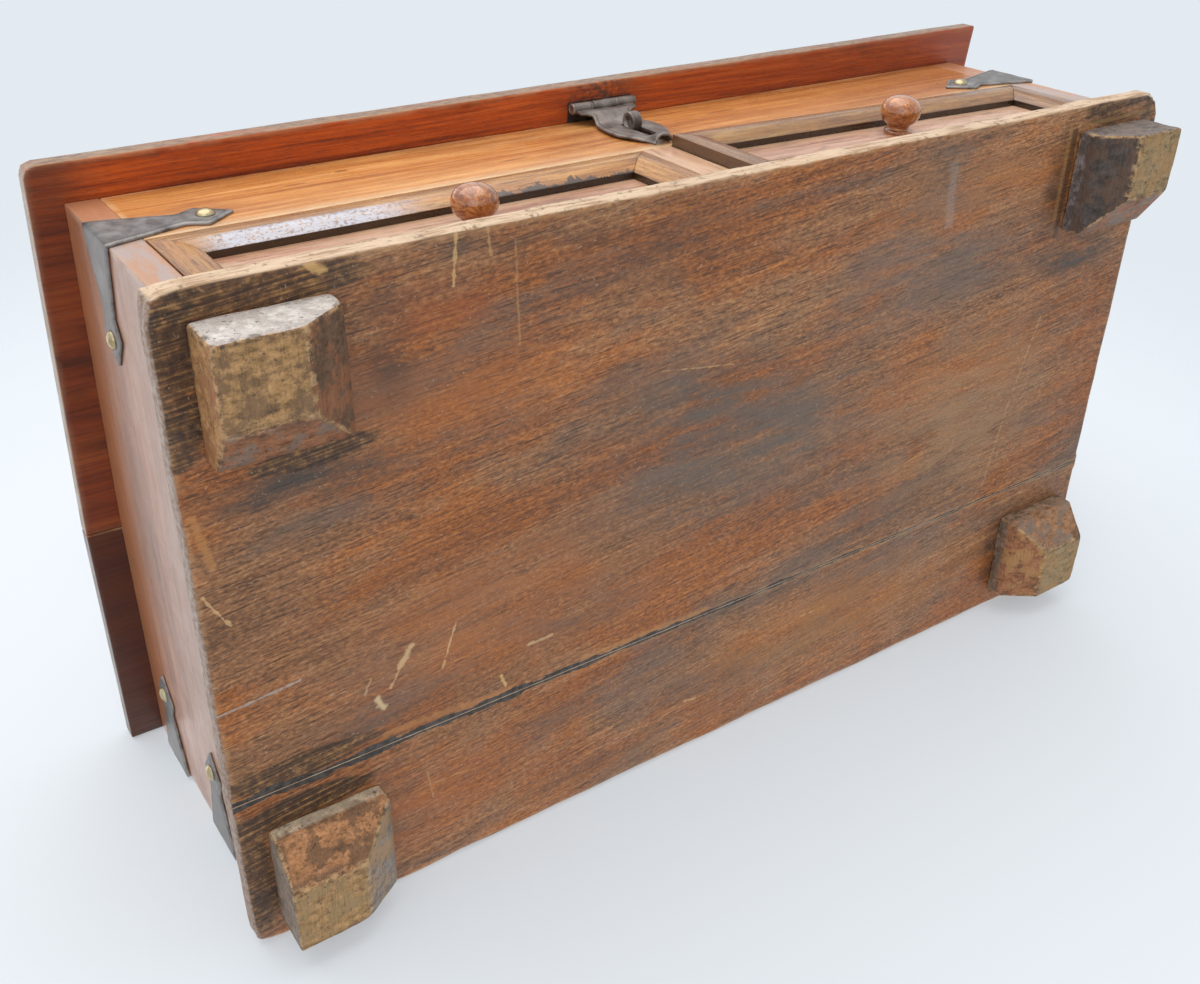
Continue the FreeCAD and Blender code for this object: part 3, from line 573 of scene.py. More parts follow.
# Strokes on the underside: start, end, half width, tone and share
BASE_STROKES = [
    ((-143, -140), (-145, -119), 0.9, (0.60, 0.38, 0.16), 0.75),
    ((-120, -131), (-119, -91), 0.7, (0.46, 0.22, 0.09), 0.6),
    ((-131, -139), (-130, -127), 0.8, (0.5, 0.3, 0.13), 0.6),
    ((-249, 25), (-217, 22), 0.8, (0.40, 0.36, 0.33), 0.8),
    ((-171, 25), (-176, 33), 1.7, (0.62, 0.41, 0.21), 0.85),
    ((-176, 33), (-181, 42), 0.9, (0.62, 0.38, 0.19), 0.8),
    ((-187, 45), (-185, 50), 2.0, (0.68, 0.50, 0.29), 0.85),
    ((-151, 22), (-158, 42), 0.7, (0.62, 0.38, 0.19), 0.8),
    ((-189, 34), (-192, 40), 0.8, (0.55, 0.36, 0.18), 0.6),
    ((-118, 47), (-106, 47), 0.9, (0.58, 0.38, 0.19), 0.75),
    ((-131, 58), (-129, 64), 1.0, (0.66, 0.42, 0.16), 0.8),
    ((-247, -27), (-239, -12), 0.7, (0.66, 0.42, 0.2), 0.7),
    ((-150, 66), (-128, 67), 2.4, (0.48, 0.21, 0.07), 0.65),
    ((-185, 64), (-150, 65), 2.0, (0.46, 0.20, 0.065), 0.6),
    ((-90, 66), (-20, 67), 1.6, (0.50, 0.24, 0.08), 0.5),
    ((-52, -63), (-15, -57), 0.5, (0.6, 0.36, 0.16), 0.6),
    ((189, -33), (176, 15), 0.7, (0.6, 0.38, 0.18), 0.45),
    ((176, 15), (168, 60), 0.8, (0.5, 0.36, 0.2), 0.35),
    ((105, -122), (107, -96), 3.4, (0.36, 0.31, 0.28), 0.3),
    ((-197, -137), (-192, -134), 2.0, (0.56, 0.34, 0.13), 0.85),
    ((-246, -58), (-242, -38), 2.0, (0.48, 0.22, 0.07), 0.6),
    ((-168, 92), (-166, 108), 0.6, (0.5, 0.3, 0.14), 0.5),
    ((-172, 100), (-150, 101), 0.5, (0.5, 0.3, 0.14), 0.5),
    ((40, 96), (60, 97), 0.5, (0.55, 0.35, 0.17), 0.5),
    ((-30, 118), (-24, 119), 0.8, (0.6, 0.42, 0.2), 0.6),
    ((187, -126), (187, -76), 2.6, (0.055, 0.032, 0.018), 0.7),
    ((183, -128), (184, -84), 1.6, (0.34, 0.19, 0.07), 0.45),
    ((188, -129), (236, -129), 1.4, (0.40, 0.24, 0.09), 0.4)]

# Stains on the underside: centre, reach, tone and share
BASE_STAINS = [
    ((-130, 20), (110, 60), (0.40, 0.140, 0.042), 0.55),
    ((-150, -80), (90, 30), (0.40, 0.130, 0.035), 0.6),
    ((-185, 108), (70, 34), (0.38, 0.115, 0.030), 0.7),
    ((70, 105), (150, 34), (0.36, 0.165, 0.050), 0.6),
    ((150, 10), (100, 70), (0.36, 0.210, 0.105), 0.7),
    ((120, -110), (90, 24), (0.38, 0.170, 0.060), 0.5),
    ((-205, -60), (60, 12), (0.055, 0.045, 0.038), 0.95),
    ((-170, -102), (16, 36), (0.07, 0.040, 0.028), 0.8),
    ((-150, -112), (34, 16), (0.28, 0.075, 0.024), 0.7),
    ((-90, -128), (90, 12), (0.075, 0.042, 0.028), 0.75),
    ((-40, -108), (60, 22), (0.11, 0.060, 0.038), 0.6),
    ((-30, -45), (62, 32), (0.100, 0.083, 0.070), 0.85),
    ((0, -15), (130, 52), (0.135, 0.108, 0.088), 0.9),
    ((90, -75), (90, 40), (0.17, 0.125, 0.100), 0.7),
    ((-90, 40), (50, 20), (0.13, 0.090, 0.070), 0.6),
    ((207, -62), (50, 18), (0.06, 0.050, 0.040), 1.0),
    ((180, -105), (12, 36), (0.05, 0.028, 0.016), 0.8),
    ((187, 108), (12, 36), (0.06, 0.035, 0.025), 0.8),
    ((100, 88), (90, 10), (0.16, 0.100, 0.065), 0.5),
    ((-60, 132), (120, 14), (0.14, 0.075, 0.042), 0.5)]

# Burnt places with bright streaks: centre and reach
BASE_BURNS = [((-246, -112), (17, 50)), ((-216, -133), (56, 11)), ((222, -133), (42, 9)),
              ((243, -118), (12, 30)),
              ((-222, 62), (50, 8)), ((-224, 82), (44, 9)), ((-245, 112), (11, 40)),
              ((-200, -70), (34, 7))]


def base_marks(s, color):
    """Stains round the feet, a dark filled joint, scratches, the pale front edge and a painted sheen on the
    left end face.
    """
    under = s.toward((0, 0, -1))
    blotch = s.range(s.noise(s.vector("MULTIPLY", s.place, (26.0, 110.0, 40.0)), 1.0, 6.0, 0.68),
                     0.28, 0.66)
    x, y, _ = s.parts(s.place)
    for (at_x, at_y), (wide, deep), tone, share in BASE_STAINS:
        mask = s.math("MULTIPLY", s.spot((at_x, at_y, 22), (wide, deep, 40), 0.85), blotch)
        color = s.mix(color, tone, s.math("MULTIPLY", mask, s.math("MULTIPLY", under, share)))
    grain = s.math("ADD", s.math("MULTIPLY", s.thin, 0.5), s.math("MULTIPLY", s.ragged(), 0.5))
    burnt = s.ramp(grain, [(0.42, (0.030, 0.018, 0.012)), (0.50, (0.080, 0.042, 0.020)),
                           (0.56, (0.17, 0.085, 0.032)), (0.64, (0.36, 0.20, 0.075))])
    for (at_x, at_y), (wide, deep) in BASE_BURNS:
        mask = s.spot((at_x, at_y, 22), (wide, deep, 40), 0.6)
        mask = s.range(s.math("MULTIPLY", mask, s.range(blotch, 0.0, 1.0, 0.4, 1.4)), 0.25, 0.65)
        color = s.mix(color, burnt, s.math("MULTIPLY", s.math("MULTIPLY", mask, under), 0.9))
    dots = s.range(s.noise(s.place, 800.0, 3.0, 0.6), 0.63, 0.72)
    color = s.mix(color, (0.46, 0.36, 0.28), s.math("MULTIPLY", dots, 0.5))
    for start, end, half, tone, share in BASE_STROKES:
        mask = s.math("MULTIPLY", s.stroke(start, end, half), s.math("MULTIPLY", under, share))
        color = s.mix(color, tone, mask)
    width = s.range(x, -0.25, 0.14, 0.0022, 0.0007)
    ragged = s.noise(s.vector("MULTIPLY", s.place, (60.0, 160.0, 40.0)), 1.0, 4.0, 0.65)
    width = s.math("MULTIPLY", width, s.range(ragged, 0.32, 0.7, 0.5, 1.7))
    gap = s.math("ABSOLUTE", s.math("SUBTRACT", y, BASE_JOINT_Y * MM))
    seam = s.math("LESS_THAN", gap, width)
    filler = s.mix((0.075, 0.065, 0.058), (0.03, 0.024, 0.020), s.range(s.ragged(), 0.4, 0.6))
    color = s.mix(color, filler, s.math("MULTIPLY", seam, under))
    pale = s.noise(s.vector("MULTIPLY", s.place, (50.0, 500.0, 500.0)), 1.0, 4.0, 0.6)
    cream = s.mix((0.66, 0.48, 0.32), (0.40, 0.24, 0.13), s.range(pale, 0.46, 0.64))
    cream = s.mix(cream, (0.16, 0.09, 0.05), s.range(s.ragged(), 0.56, 0.66, 0.0, 0.7))
    color = s.mix(color, cream, s.math("MULTIPLY", s.toward((0, -1, 0), 0.3, 0.7), 0.95))
    # left end face: end grain with a painted pale sheen on it
    side = s.mix((0.36, 0.27, 0.22), (0.22, 0.13, 0.085), s.range(pale, 0.42, 0.6))
    return s.mix(color, side, s.math("MULTIPLY", s.toward((-1, 0, 0), 0.3, 0.7), 0.9))


def base_wood():
    return wood("base_wood", [(0.39, (0.12, 0.052, 0.024)), (0.46, (0.24, 0.100, 0.040)),
                              (0.53, (0.36, 0.155, 0.060)), (0.62, (0.52, 0.27, 0.120))],
                seed=3.0, turn=(0, 0, 0.10), broad=(4, 22), fine=(17, 900), bend=0.003,
                grime=(0.13, 0.100, 0.080), grime_share=0.6, grime_range=(0.47, 0.66),
                gloss=(0.42, 0.6), pore=0.75, edge_tone=(0.50, 0.32, 0.16), edge_share=0.35,
                warm=(1.07, 0.83, 0.52), cool=(0.80, 0.88, 0.98), speckle=0.46, relief=0.5,
                marks=base_marks)


# Main and second tone of the visible faces of each foot
TAN, GOLD, OLIVE = (0.38, 0.215, 0.082), (0.42, 0.22, 0.08), (0.30, 0.20, 0.088)
RUST, GREY, SMOKE = (0.29, 0.110, 0.042), (0.21, 0.165, 0.130), (0.046, 0.036, 0.032)
UMBER, CREAM, CHALK = (0.115, 0.058, 0.028), (0.56, 0.45, 0.32), (0.60, 0.54, 0.49)
FOOT_FACES = {
    "foot_front_left": [((0, 0, -1), TAN, (0.15, 0.085, 0.045)), ((0, -1, 0), CHALK, (0.42, 0.36, 0.32)),
                        ((-1, 0, 0), GOLD, RUST), ((1, 0, -0.7), UMBER, RUST),
                        ((0, 1, -0.7), RUST, GREY)],
    "foot_front_right": [((0, 0, -1), OLIVE, TAN), ((0, -1, 0), (0.15, 0.12, 0.105), GREY),
                         ((-1, 0, 0), (0.24, 0.20, 0.19), SMOKE), ((-1, 0, -0.7), SMOKE, (0.11, 0.058, 0.035)),
                         ((0, 1, -0.7), RUST, GREY)],
    "foot_back_left": [((0, 0, -1), TAN, OLIVE), ((0, -1, 0), CREAM, (0.40, 0.32, 0.23)),
                       ((-1, 0, 0), (0.26, 0.19, 0.14), GREY), ((1, 0, -0.7), GREY, TAN),
                       ((0, -1, -0.7), (0.42, 0.19, 0.075), UMBER)],
    "foot_back_right": [((0, 0, -1), OLIVE, TAN), ((0, -1, 0), (0.28, 0.19, 0.12), UMBER),
                        ((-1, 0, 0), GREY, UMBER), ((-1, 0, -0.7), RUST, GOLD),
                        ((0, -1, -0.7), (0.34, 0.16, 0.07), GREY)]}


def foot_marks(node):
    """Tones of the faces of one foot, each mottled with a second tone and dirt."""
    def marks(s, color):
        cloud = s.noise(s.place, 95.0, 6.0, 0.72)
        mottle = s.noise(s.vector("MULTIPLY", s.place, (170.0, 300.0, 300.0)), 1.0, 7.0, 0.78)
        for direction, tone, second in FOOT_FACES[node]:
            depth = 0.78 if min(tone) > 0.25 else 0.36
            dark = tuple(value * depth for value in tone)
            light = tuple(min(0.8, value * 1.35 + 0.03) for value in tone)
            face = s.ramp(mottle, [(0.36, dark), (0.485, tone), (0.64, light)])
            face = s.mix(face, second, s.range(cloud, 0.46, 0.56, 0.0, 0.75))
            mask = s.toward(direction, 0.78, 0.92, fuzz=0.16)
            color = s.mix(color, face, s.math("MULTIPLY", mask, 0.95))
        dirt = s.math("MULTIPLY", s.range(s.edge(), 0.1, 0.7), s.range(cloud, 0.50, 0.40))
        color = s.mix(color, (0.07, 0.040, 0.022), s.math("MULTIPLY", dirt, 0.7))
        pits = s.range(s.noise(s.place, 420.0, 4.0, 0.7), 0.58, 0.67)
        color = s.mix(color, (0.05, 0.028, 0.016), s.math("MULTIPLY", pits, 0.75))
        worn = s.math("MULTIPLY", s.range(s.edge(), 0.7, 0.97), s.range(mottle, 0.47, 0.58))
        return s.mix(color, (0.52, 0.33, 0.16), s.math("MULTIPLY", worn, 0.75))

    return marks


def foot_wood(node, seed):
    return wood(f"{node}_wood", [(0.36, (0.08, 0.04, 0.025)), (0.46, (0.20, 0.10, 0.05)),
                                 (0.55, (0.32, 0.18, 0.09)), (0.68, (0.46, 0.30, 0.16))],
                axis="y", seed=seed, broad=(20, 90), fine=(80, 500), gloss=(0.5, 0.75),
                end_share=0.0, edge_share=0.0, relief=0.6, marks=foot_marks(node))


def moulding_marks(name, word):
    """Painted shade on the inner walls; on the left drawer a painted pale sheen and a chipped arris on the top
    bar.
    """
    def marks(s, color):
        x, _, z = s.parts(s.place)
        inner = {"top": (0, 0, -1), "right": (-1, 0, 0), "bottom": (0, 0, 1), "left": (1, 0, 0)}
        # painted shade: the inner walls of each bar are made nearly black, as in a shaded recess
        shaded_wall = s.toward(inner[name], 0.75, 0.95)
        color = s.mix(color, (0.020, 0.011, 0.007), s.math("MULTIPLY", shaded_wall, 0.93))
        if (word, name) == ("left", "top"):
            # painted highlight: a pale bluish speckled sheen on the bevel of the left drawer's top bar, with
            # dark pits in it
            zone = s.math("MULTIPLY", s.range(x, -0.216, -0.200), s.range(x, -0.150, -0.118, 1.0, 0.0))
            bevel = s.math("MULTIPLY", s.range(z, 0.0865, 0.0845), s.range(shaded_wall, 0.0, 0.3, 1.0, 0.0))
            zone = s.math("MULTIPLY", zone, bevel)
            specks = s.noise(s.vector("MULTIPLY", s.place, (700.0, 900.0, 900.0)), 1.0, 3.0, 0.6)
            painted_sheen = s.math("MULTIPLY", zone, s.range(specks, 0.38, 0.55, 0.35, 0.85))
            color = s.mix(color, (0.50, 0.53, 0.61), painted_sheen)
            pits = s.math("MULTIPLY", zone, s.range(specks, 0.36, 0.44, 0.5, 0.0))
            color = s.mix(color, (0.10, 0.08, 0.08), pits)
            chip = s.noise(s.vector("MULTIPLY", s.place, (160.0, 160.0, 90.0)), 1.0, 4.0, 0.65)
            height = s.range(chip, 0.35, 0.7, 0.0785, 0.0835)
            low = s.math("LESS_THAN", z, height)
            low = s.math("MULTIPLY", low, s.range(x, -0.118, -0.105))
            color = s.mix(color, (0.030, 0.020, 0.014), s.math("MULTIPLY", low, 0.85))
        if (word, name) == ("right", "left"):
            end = s.toward((-1, 0, 0), 0.7, 0.9)
            color = s.mix(color, (0.11, 0.062, 0.035), s.math("MULTIPLY", end, 0.85))
        return color

    return marks


def moulding_wood(name, word):
    dark = 0.5 if word == "right" else 0.76
    tones = [(0.36, (0.22, 0.070, 0.014)), (0.46, (0.48, 0.190, 0.040)),
             (0.55, (0.68, 0.320, 0.080)), (0.66, (0.86, 0.520, 0.190))]
    tones = [(at, tuple(value * dark for value in tone)) for at, tone in tones]
    axis = "x" if name in ("bottom", "top") else "z"
    return wood(f"moulding_wood_{word}_{name}", tones, axis=axis, seed=5.0, broad=(8, 110),
                fine=(30, 620), gloss=(0.18, 0.34), coat=0.4, edge_tone=(0.10, 0.05, 0.03),
                edge_share=0.3, grime=(0.10, 0.05, 0.03), grime_share=0.5, pore=0.6,
                pore_tone=(0.10, 0.04, 0.02), end_tone=(0.30, 0.18, 0.10), end_share=0.0,
                marks=moulding_marks(name, word))


def panel_wood():
    return wood("panel_wood", [(0.36, (0.32, 0.12, 0.070)), (0.46, (0.50, 0.25, 0.15)),
                               (0.55, (0.62, 0.37, 0.24)), (0.68, (0.72, 0.47, 0.33))], seed=6.0,
                gloss=(0.28, 0.42), coat=0.35, broad=(5, 60), fine=(16, 420), grime_share=0.25)


def inner_wood(axis):
    return wood(f"inner_wood_{axis}", [(0.36, (0.26, 0.135, 0.060)), (0.46, (0.40, 0.225, 0.105)),
                                       (0.55, (0.50, 0.30, 0.15)), (0.68, (0.58, 0.38, 0.21))],
                axis=axis, seed=7.0, gloss=(0.5, 0.7), grime_share=0.3, broad=(4, 50),
                fine=(12, 620), end_tone=(0.35, 0.21, 0.11))


def knob_wood():
    return wood("knob_wood", [(0.36, (0.12, 0.028, 0.008)), (0.46, (0.34, 0.100, 0.022)),
                              (0.56, (0.54, 0.20, 0.048)), (0.68, (0.70, 0.34, 0.11))], axis="z",
                seed=8.0, gloss=(0.10, 0.24), coat=1.0, coat_rough=0.08, edge_share=0.0, broad=(60, 240),
                fine=(120, 900), grime_share=0.6, end_share=0.0, grime=(0.06, 0.02, 0.01))


# Camera and light

def make_camera():
    data = bpy.data.cameras.new("camera")
    data.sensor_width = 36.0
    data.lens = 38.117
    camera = bpy.data.objects.new("camera", data)
    bpy.context.scene.collection.objects.link(camera)
    turn = Matrix(((0.82518474, 0.2767449, -0.49242502),
                   (-0.01532563, -0.86047037, -0.50926994),
                   (-0.564655, 0.42778851, -0.70580573))).to_4x4()
    camera.matrix_world = Matrix.Translation((-0.338488, -0.281371, -0.345466)) @ turn
    data.clip_start = 0.01
    bpy.context.scene.camera = camera


def make_light(name, place, aim, width, power, color=(1, 1, 1)):
    data = bpy.data.lights.new(name, "AREA")
    data.size = width
    data.energy = power
    data.color = color
    lamp = bpy.data.objects.new(name, data)
    lamp.location = place
    lamp.rotation_euler = (Vector(aim) - Vector(place)).to_track_quat("-Z", "Y").to_euler()
    bpy.context.scene.collection.objects.link(lamp)


def make_world():
    world = bpy.data.worlds.new("world")
    bpy.context.scene.world = world
    world.use_nodes = True
    tree = world.node_tree
    tree.nodes.clear()
    output = tree.nodes.new("ShaderNodeOutputWorld")
    path = tree.nodes.new("ShaderNodeLightPath")
    shown = path.outputs["Is Camera Ray"]
    for ray in ("Is Glossy Ray", "Is Transmission Ray"):
        either = tree.nodes.new("ShaderNodeMath")
        either.operation = "MAXIMUM"
        tree.links.new(shown, either.inputs[0])
        tree.links.new(path.outputs[ray], either.inputs[1])
        shown = either.outputs[0]
    seen = tree.nodes.new("ShaderNodeBackground")
    seen.inputs[0].default_value = (0.77, 0.825, 0.88, 1)
    seen.inputs[1].default_value = 1.0
    light = tree.nodes.new("ShaderNodeBackground")
    light.inputs[0].default_value = (0.93, 0.96, 1.0, 1)
    light.inputs[1].default_value = 0.75
    mix = tree.nodes.new("ShaderNodeMixShader")
    tree.links.new(shown, mix.inputs[0])
    tree.links.new(light.outputs[0], mix.inputs[1])
    tree.links.new(seen.outputs[0], mix.inputs[2])
    tree.links.new(mix.outputs[0], output.inputs[0])


def one_sided_stage(name, corner_points, center, reach):
    """A pale sheet that only shows from its front and fades out with distance."""
    mesh = bpy.data.meshes.new(name)
    mesh.from_pydata(corner_points, [], [(0, 1, 2, 3)])
    sheet = bpy.data.objects.new(name, mesh)
    bpy.context.scene.collection.objects.link(sheet)
    s = Shader(name)
    s.surface.inputs["Base Color"].default_value = (0.73, 0.765, 0.79, 1)
    s.surface.inputs["Roughness"].default_value = 0.9
    clear = s.node("ShaderNodeBsdfTransparent")
    mix = s.node("ShaderNodeMixShader")
    path = s.node("ShaderNodeLightPath")
    geometry = s.node("ShaderNodeNewGeometry")
    away = s.length(s.vector("SUBTRACT", s.place, center))
    fade = s.range(away, reach[0], reach[1], 1.0, 0.0)
    front = s.math("SUBTRACT", 1.0, geometry.outputs["Backfacing"])
    share = s.math("MULTIPLY", s.math("MULTIPLY", path.outputs["Is Camera Ray"], front), fade)
    share = s.math("MULTIPLY", share, 0.62)
    s.link(share, mix.inputs[0])
    s.link(clear.outputs[0], mix.inputs[1])
    s.link(s.surface.outputs[0], mix.inputs[2])
    s.link(mix.outputs[0], s.output.inputs["Surface"])
    mesh.materials.append(s.material)


def make_stage():
    wide = 3.0
    one_sided_stage("floor", [(-wide, -wide, -0.0004), (wide, -wide, -0.0004),
                              (wide, wide, -0.0004), (-wide, wide, -0.0004)],
                    (0.0, 0.0, 0.0), (0.6, 1.6))
    lean = math.tan(math.radians(3.0))
    low_y = 0.1485 + (0.022 + 1.2) * lean
    high_y = 0.1485 - (1.2 - 0.022) * lean
    one_sided_stage("table", [(-wide, low_y, -1.2), (wide, low_y, -1.2),
                              (wide, high_y, 1.2), (-wide, high_y, 1.2)],
                    (0.0, 0.14, 0.09), (0.35, 0.8))


def make_lights():
    make_light("key", (-0.1, -1.9, 0.5), (0, 0, 0.06), 2.4, 35)
    make_light("fill", (-1.1, -0.9, -1.3), (0, 0, 0.05), 1.6, 9)
    make_light("top", (-0.5, 0.3, 1.9), (0, 0, 0.1), 2.0, 11)
    make_light("back", (0.6, 1.9, 0.6), (0, 0, 0.1), 2.0, 9)


# Base and feet

def make_feet():
    slope_start, run, drop = 12.0, 17.5, 12.0
    for index, (side, end) in enumerate(((-1, -1), (1, -1), (-1, 1), (1, 1))):
        node = f"foot_{'front' if end < 0 else 'back'}_{'left' if side < 0 else 'right'}"
        low, high = box_mm(node)
        low.z, high.z = 0.0, 22.0

        def shape(point, low=low, high=high, side=side, end=end):
            cut = run * max(0.0, slope_start - point.z) / drop
            width = high.x - low.x
            x = point.x
            y = point.y
            if side < 0:
                x = low.x + (x - low.x) * (width - cut) / width
            else:
                x = high.x - (high.x - x) * (width - cut) / width
            if end < 0:
                y = low.y + (y - low.y) * (width - cut) / width
            else:
                y = high.y - (high.y - y) * (width - cut) / width
            return Vector((x, y, max(0.0, point.z)))

        chips = [((low.x, low.y, 0), 9, 1.8), ((high.x, low.y, 6), 9, 1.5),
                 ((high.x, high.y, 2), 10, 2.2)]
        bm = worn_block(low, high, edge_wear(1.2, 1.1, 12, 20 + index, chips), edge=3.0, cell=4,
                        seed=index, shape=shape, extra=((), (), (slope_start,)), wave=0.35)
        finish_piece(f"{node}_worn", bm, "case", [node], foot_wood(node, 4.0 + index))


def make_base(material):
    """Two planks whose outer edges are uneven and rubbed; they meet in a tight joint."""
    chips = [((-250, -138, 22), 9, 3.0), ((250, -138, 22), 9, 2.6), ((248, -132, 22), 8, 2.0),
             ((-64, -138, 22), 7, 1.4), ((13, -138, 22), 12, 1.8), ((150, -138, 22), 8, 1.4),
             ((-194, -138, 22), 7, 1.6), ((-250, 147, 22), 9, 2.4), ((250, 147, 22), 9, 2.4)]
    outer = edge_wear(1.5, 0.9, 26, 30, chips)
    low_x, high_x = box_mm("base_front_plank")[0].x, box_mm("base_front_plank")[1].x
    front_y, rear_y = box_mm("base_front_plank")[0].y, box_mm("base_rear_plank")[1].y

    corners = [((low_x, front_y), 1.6), ((high_x, front_y), 3.2), ((low_x, rear_y), 1.4),
               ((high_x, rear_y), 1.4)]

    def radius(point):
        return 0.12 if abs(point.y - BASE_JOINT_Y) < 4 else outer(point)

    def shape(point):
        """Pull the outer edges in by an uneven amount."""
        uneven = 0.45 + 0.45 * wander(point, 34, 33) + 0.3 * wander(point, 11, 34)
        x = point.x
        y = point.y
        x += uneven * (1 - smooth(x - low_x, 0, 10)) - uneven * (1 - smooth(high_x - x, 0, 10))
        y += uneven * (1 - smooth(y - front_y, 0, 10)) - uneven * (1 - smooth(rear_y - y, 0, 10))
        for corner, trim in corners:
            away = Vector((x, y)) - Vector(corner)
            pull = trim * (1 - smooth(away.length, 0, 8 + trim)) * (1 + 0.8 * wander(point, 4, 36))
            x -= math.copysign(pull, corner[0])
            y -= math.copysign(pull, corner[1])
        return Vector((x, y, point.z))

    for node in ("base_front_plank", "base_rear_plank"):
        low, high = box_mm(node)
        bm = worn_block(low, high, radius, edge=3.2, cell=7, seed=30, shape=shape)
        finish_piece(f"{node}_worn", bm, "case", [node], material)


# Carcass

def make_carcass(side, back, rail, muntin):
    for index, word in enumerate(("left", "right")):
        low, high = box_mm(f"side_{word}")

        def shape(point):
            rise = (point.z - BASE_TOP) / (REAR_TOP - BASE_TOP)
            return Vector((point.x, point.y, BASE_TOP + rise * (slope_z(point.y) - BASE_TOP)))

        bm = worn_block(low, high, edge_wear(0.5, 0.5, 25, 40 + index), edge=1.4, cell=10,
                        seed=40 + index, shape=shape, extra=((), (SEAM_Y,), ()))
        finish_piece(f"side_{word}_worn", bm, "case", [f"side_{word}"], side)
    low, high = box_mm("front_rail")

    def rail_shape(point):
        top = high.z
        rise = (point.z - low.z) / (top - low.z)
        return Vector((point.x, point.y, low.z + rise * (slope_z(point.y) - low.z)))

    bm = worn_block(low, high, edge_wear(0.4, 0.4, 25, 45), edge=1.2, cell=10, seed=45,
                    shape=rail_shape)
    finish_piece("front_rail_worn", bm, "case", ["front_rail"], rail)
    for index, (node, material) in enumerate((("muntin", muntin), ("back_board", back))):
        low, high = box_mm(node)
        bm = worn_block(low, high, edge_wear(0.4, 0.4, 20, 47 + index), edge=1.2, cell=12,
                        seed=47 + index)
        finish_piece(f"{node}_worn", bm, "case", [node], material)


# Top

def hinge_notches(low_y, high_y):
    return [((x - 20.4, low_y, 174.8), (x + 20.4, high_y, 190.0)) for x in (-150, 150)]


def make_top(material):
    low, high = box_mm("rear_board")
    bm = worn_block(low, high, edge_wear(0.7, 0.6, 25, 50), edge=2.2, cell=12, seed=50)
    piece = finish_piece("rear_board_worn", bm, "case", ["rear_board"], material)
    cut_out(piece, hinge_notches(SEAM_Y - 1, SEAM_Y + 3.2))
    low, high = box_mm("lid")
    under = FRONT_TOP + SEAT_GAP
    flat_low = Vector((low.x, low.y, under))
    flat_high = Vector((high.x, SEAM_Y - 0.4, under + LID_THICK))

    def shape(point):
        """Tilt the board and pull its front left corner in, because it isn't square."""
        forward = (SEAM_Y - point.y) / (SEAM_Y - low.y)
        left = max(0.0, high.x - point.x) / (high.x - low.x)
        x = point.x + 2.6 * forward * left
        y = point.y + 2.6 * forward * left
        corner = (Vector((x, y)) - Vector((low.x + 2.6, low.y + 2.6))).length
        trim = 1.6 * (1 - smooth(corner, 0, 5))
        return Vector((x + trim * 0.7, y + trim * 0.7, point.z + (y - FRONT_Y) * SLOPE))

    bm = worn_block(flat_low, flat_high, edge_wear(1.0, 0.8, 25, 52), edge=2.6, cell=12, seed=52,
                    shape=shape)
    piece = finish_piece("lid_worn", bm, "lid", ["lid"], material)
    cut_out(piece, hinge_notches(SEAM_Y - 3.2, SEAM_Y + 1))


# Drawers

def drawer_space(word):
    """Right end, width, turn and height range of a drawer's front."""
    low_z, high_z = 31.3, 94.4
    if word == "left":
        return -12.6, 214.0, 0.0, low_z, high_z
    width = 223.2
    return 226.6, width, math.asin(5.0 / width), low_z, high_z


def to_drawer(word):
    """Maps a point of a front's own frame to the box."""
    right, _, turn, _, _ = drawer_space(word)
    matrix = Matrix.Translation((right, FRONT_Y, 0)) @ Matrix.Rotation(turn, 4, "Z")
    return lambda point: matrix @ Vector(point)


def make_mouldings(word):
    _, width, _, low_z, high_z = drawer_space(word)
    height = high_z - low_z
    across, band, ridge, sink, thick = 15.4, 8.8, 0.6, 2.9, 14.0
    place = to_drawer(word)
    runs = {"bottom": (width, lambda u, v: (u - width, low_z + v)),
            "right": (height, lambda u, v: (-v, low_z + u)),
            "top": (width, lambda u, v: (-u, high_z - v)),
            "left": (height, lambda u, v: (v - width, high_z - u))}
    for index, (name, (span, lay)) in enumerate(runs.items()):
        node = f"drawer_{word}_frame_{name}"

        def shape(point, span=span, lay=lay):
            u, v, w = point
            slope = -ridge * min(v, band) / band
            slope += (sink + ridge) * max(0.0, v - band) / (across - band)
            w = w + slope * (1 - w / thick)
            u = v + (span - 2 * v) * u / span
            x, z = lay(u, v)
            return place((x, w, z))

        bm = worn_block((0, 0, 0), (span, across, thick), edge_wear(0.35, 0.3, 14, 60 + index),
                        edge=0.9, cell=8, seed=60 + index, shape=shape,
                        extra=((), (band,), ()))
        finish_piece(f"{node}_worn", bm, f"drawer_{word}", [node], moulding_wood(name, word))


def make_panel(word, material):
    _, width, _, low_z, high_z = drawer_space(word)
    place = to_drawer(word)
    low = (-width + 15.4, 5.8, low_z + 15.4)
    high = (-15.4, 14.0, high_z - 15.4)
    bm = worn_block(low, high, edge_wear(0.2, 0.1, 14, 70), edge=0.5, cell=10, seed=70,
                    shape=place)
    node = f"drawer_{word}_panel"
    finish_piece(f"{node}_worn", bm, f"drawer_{word}", [node], material)


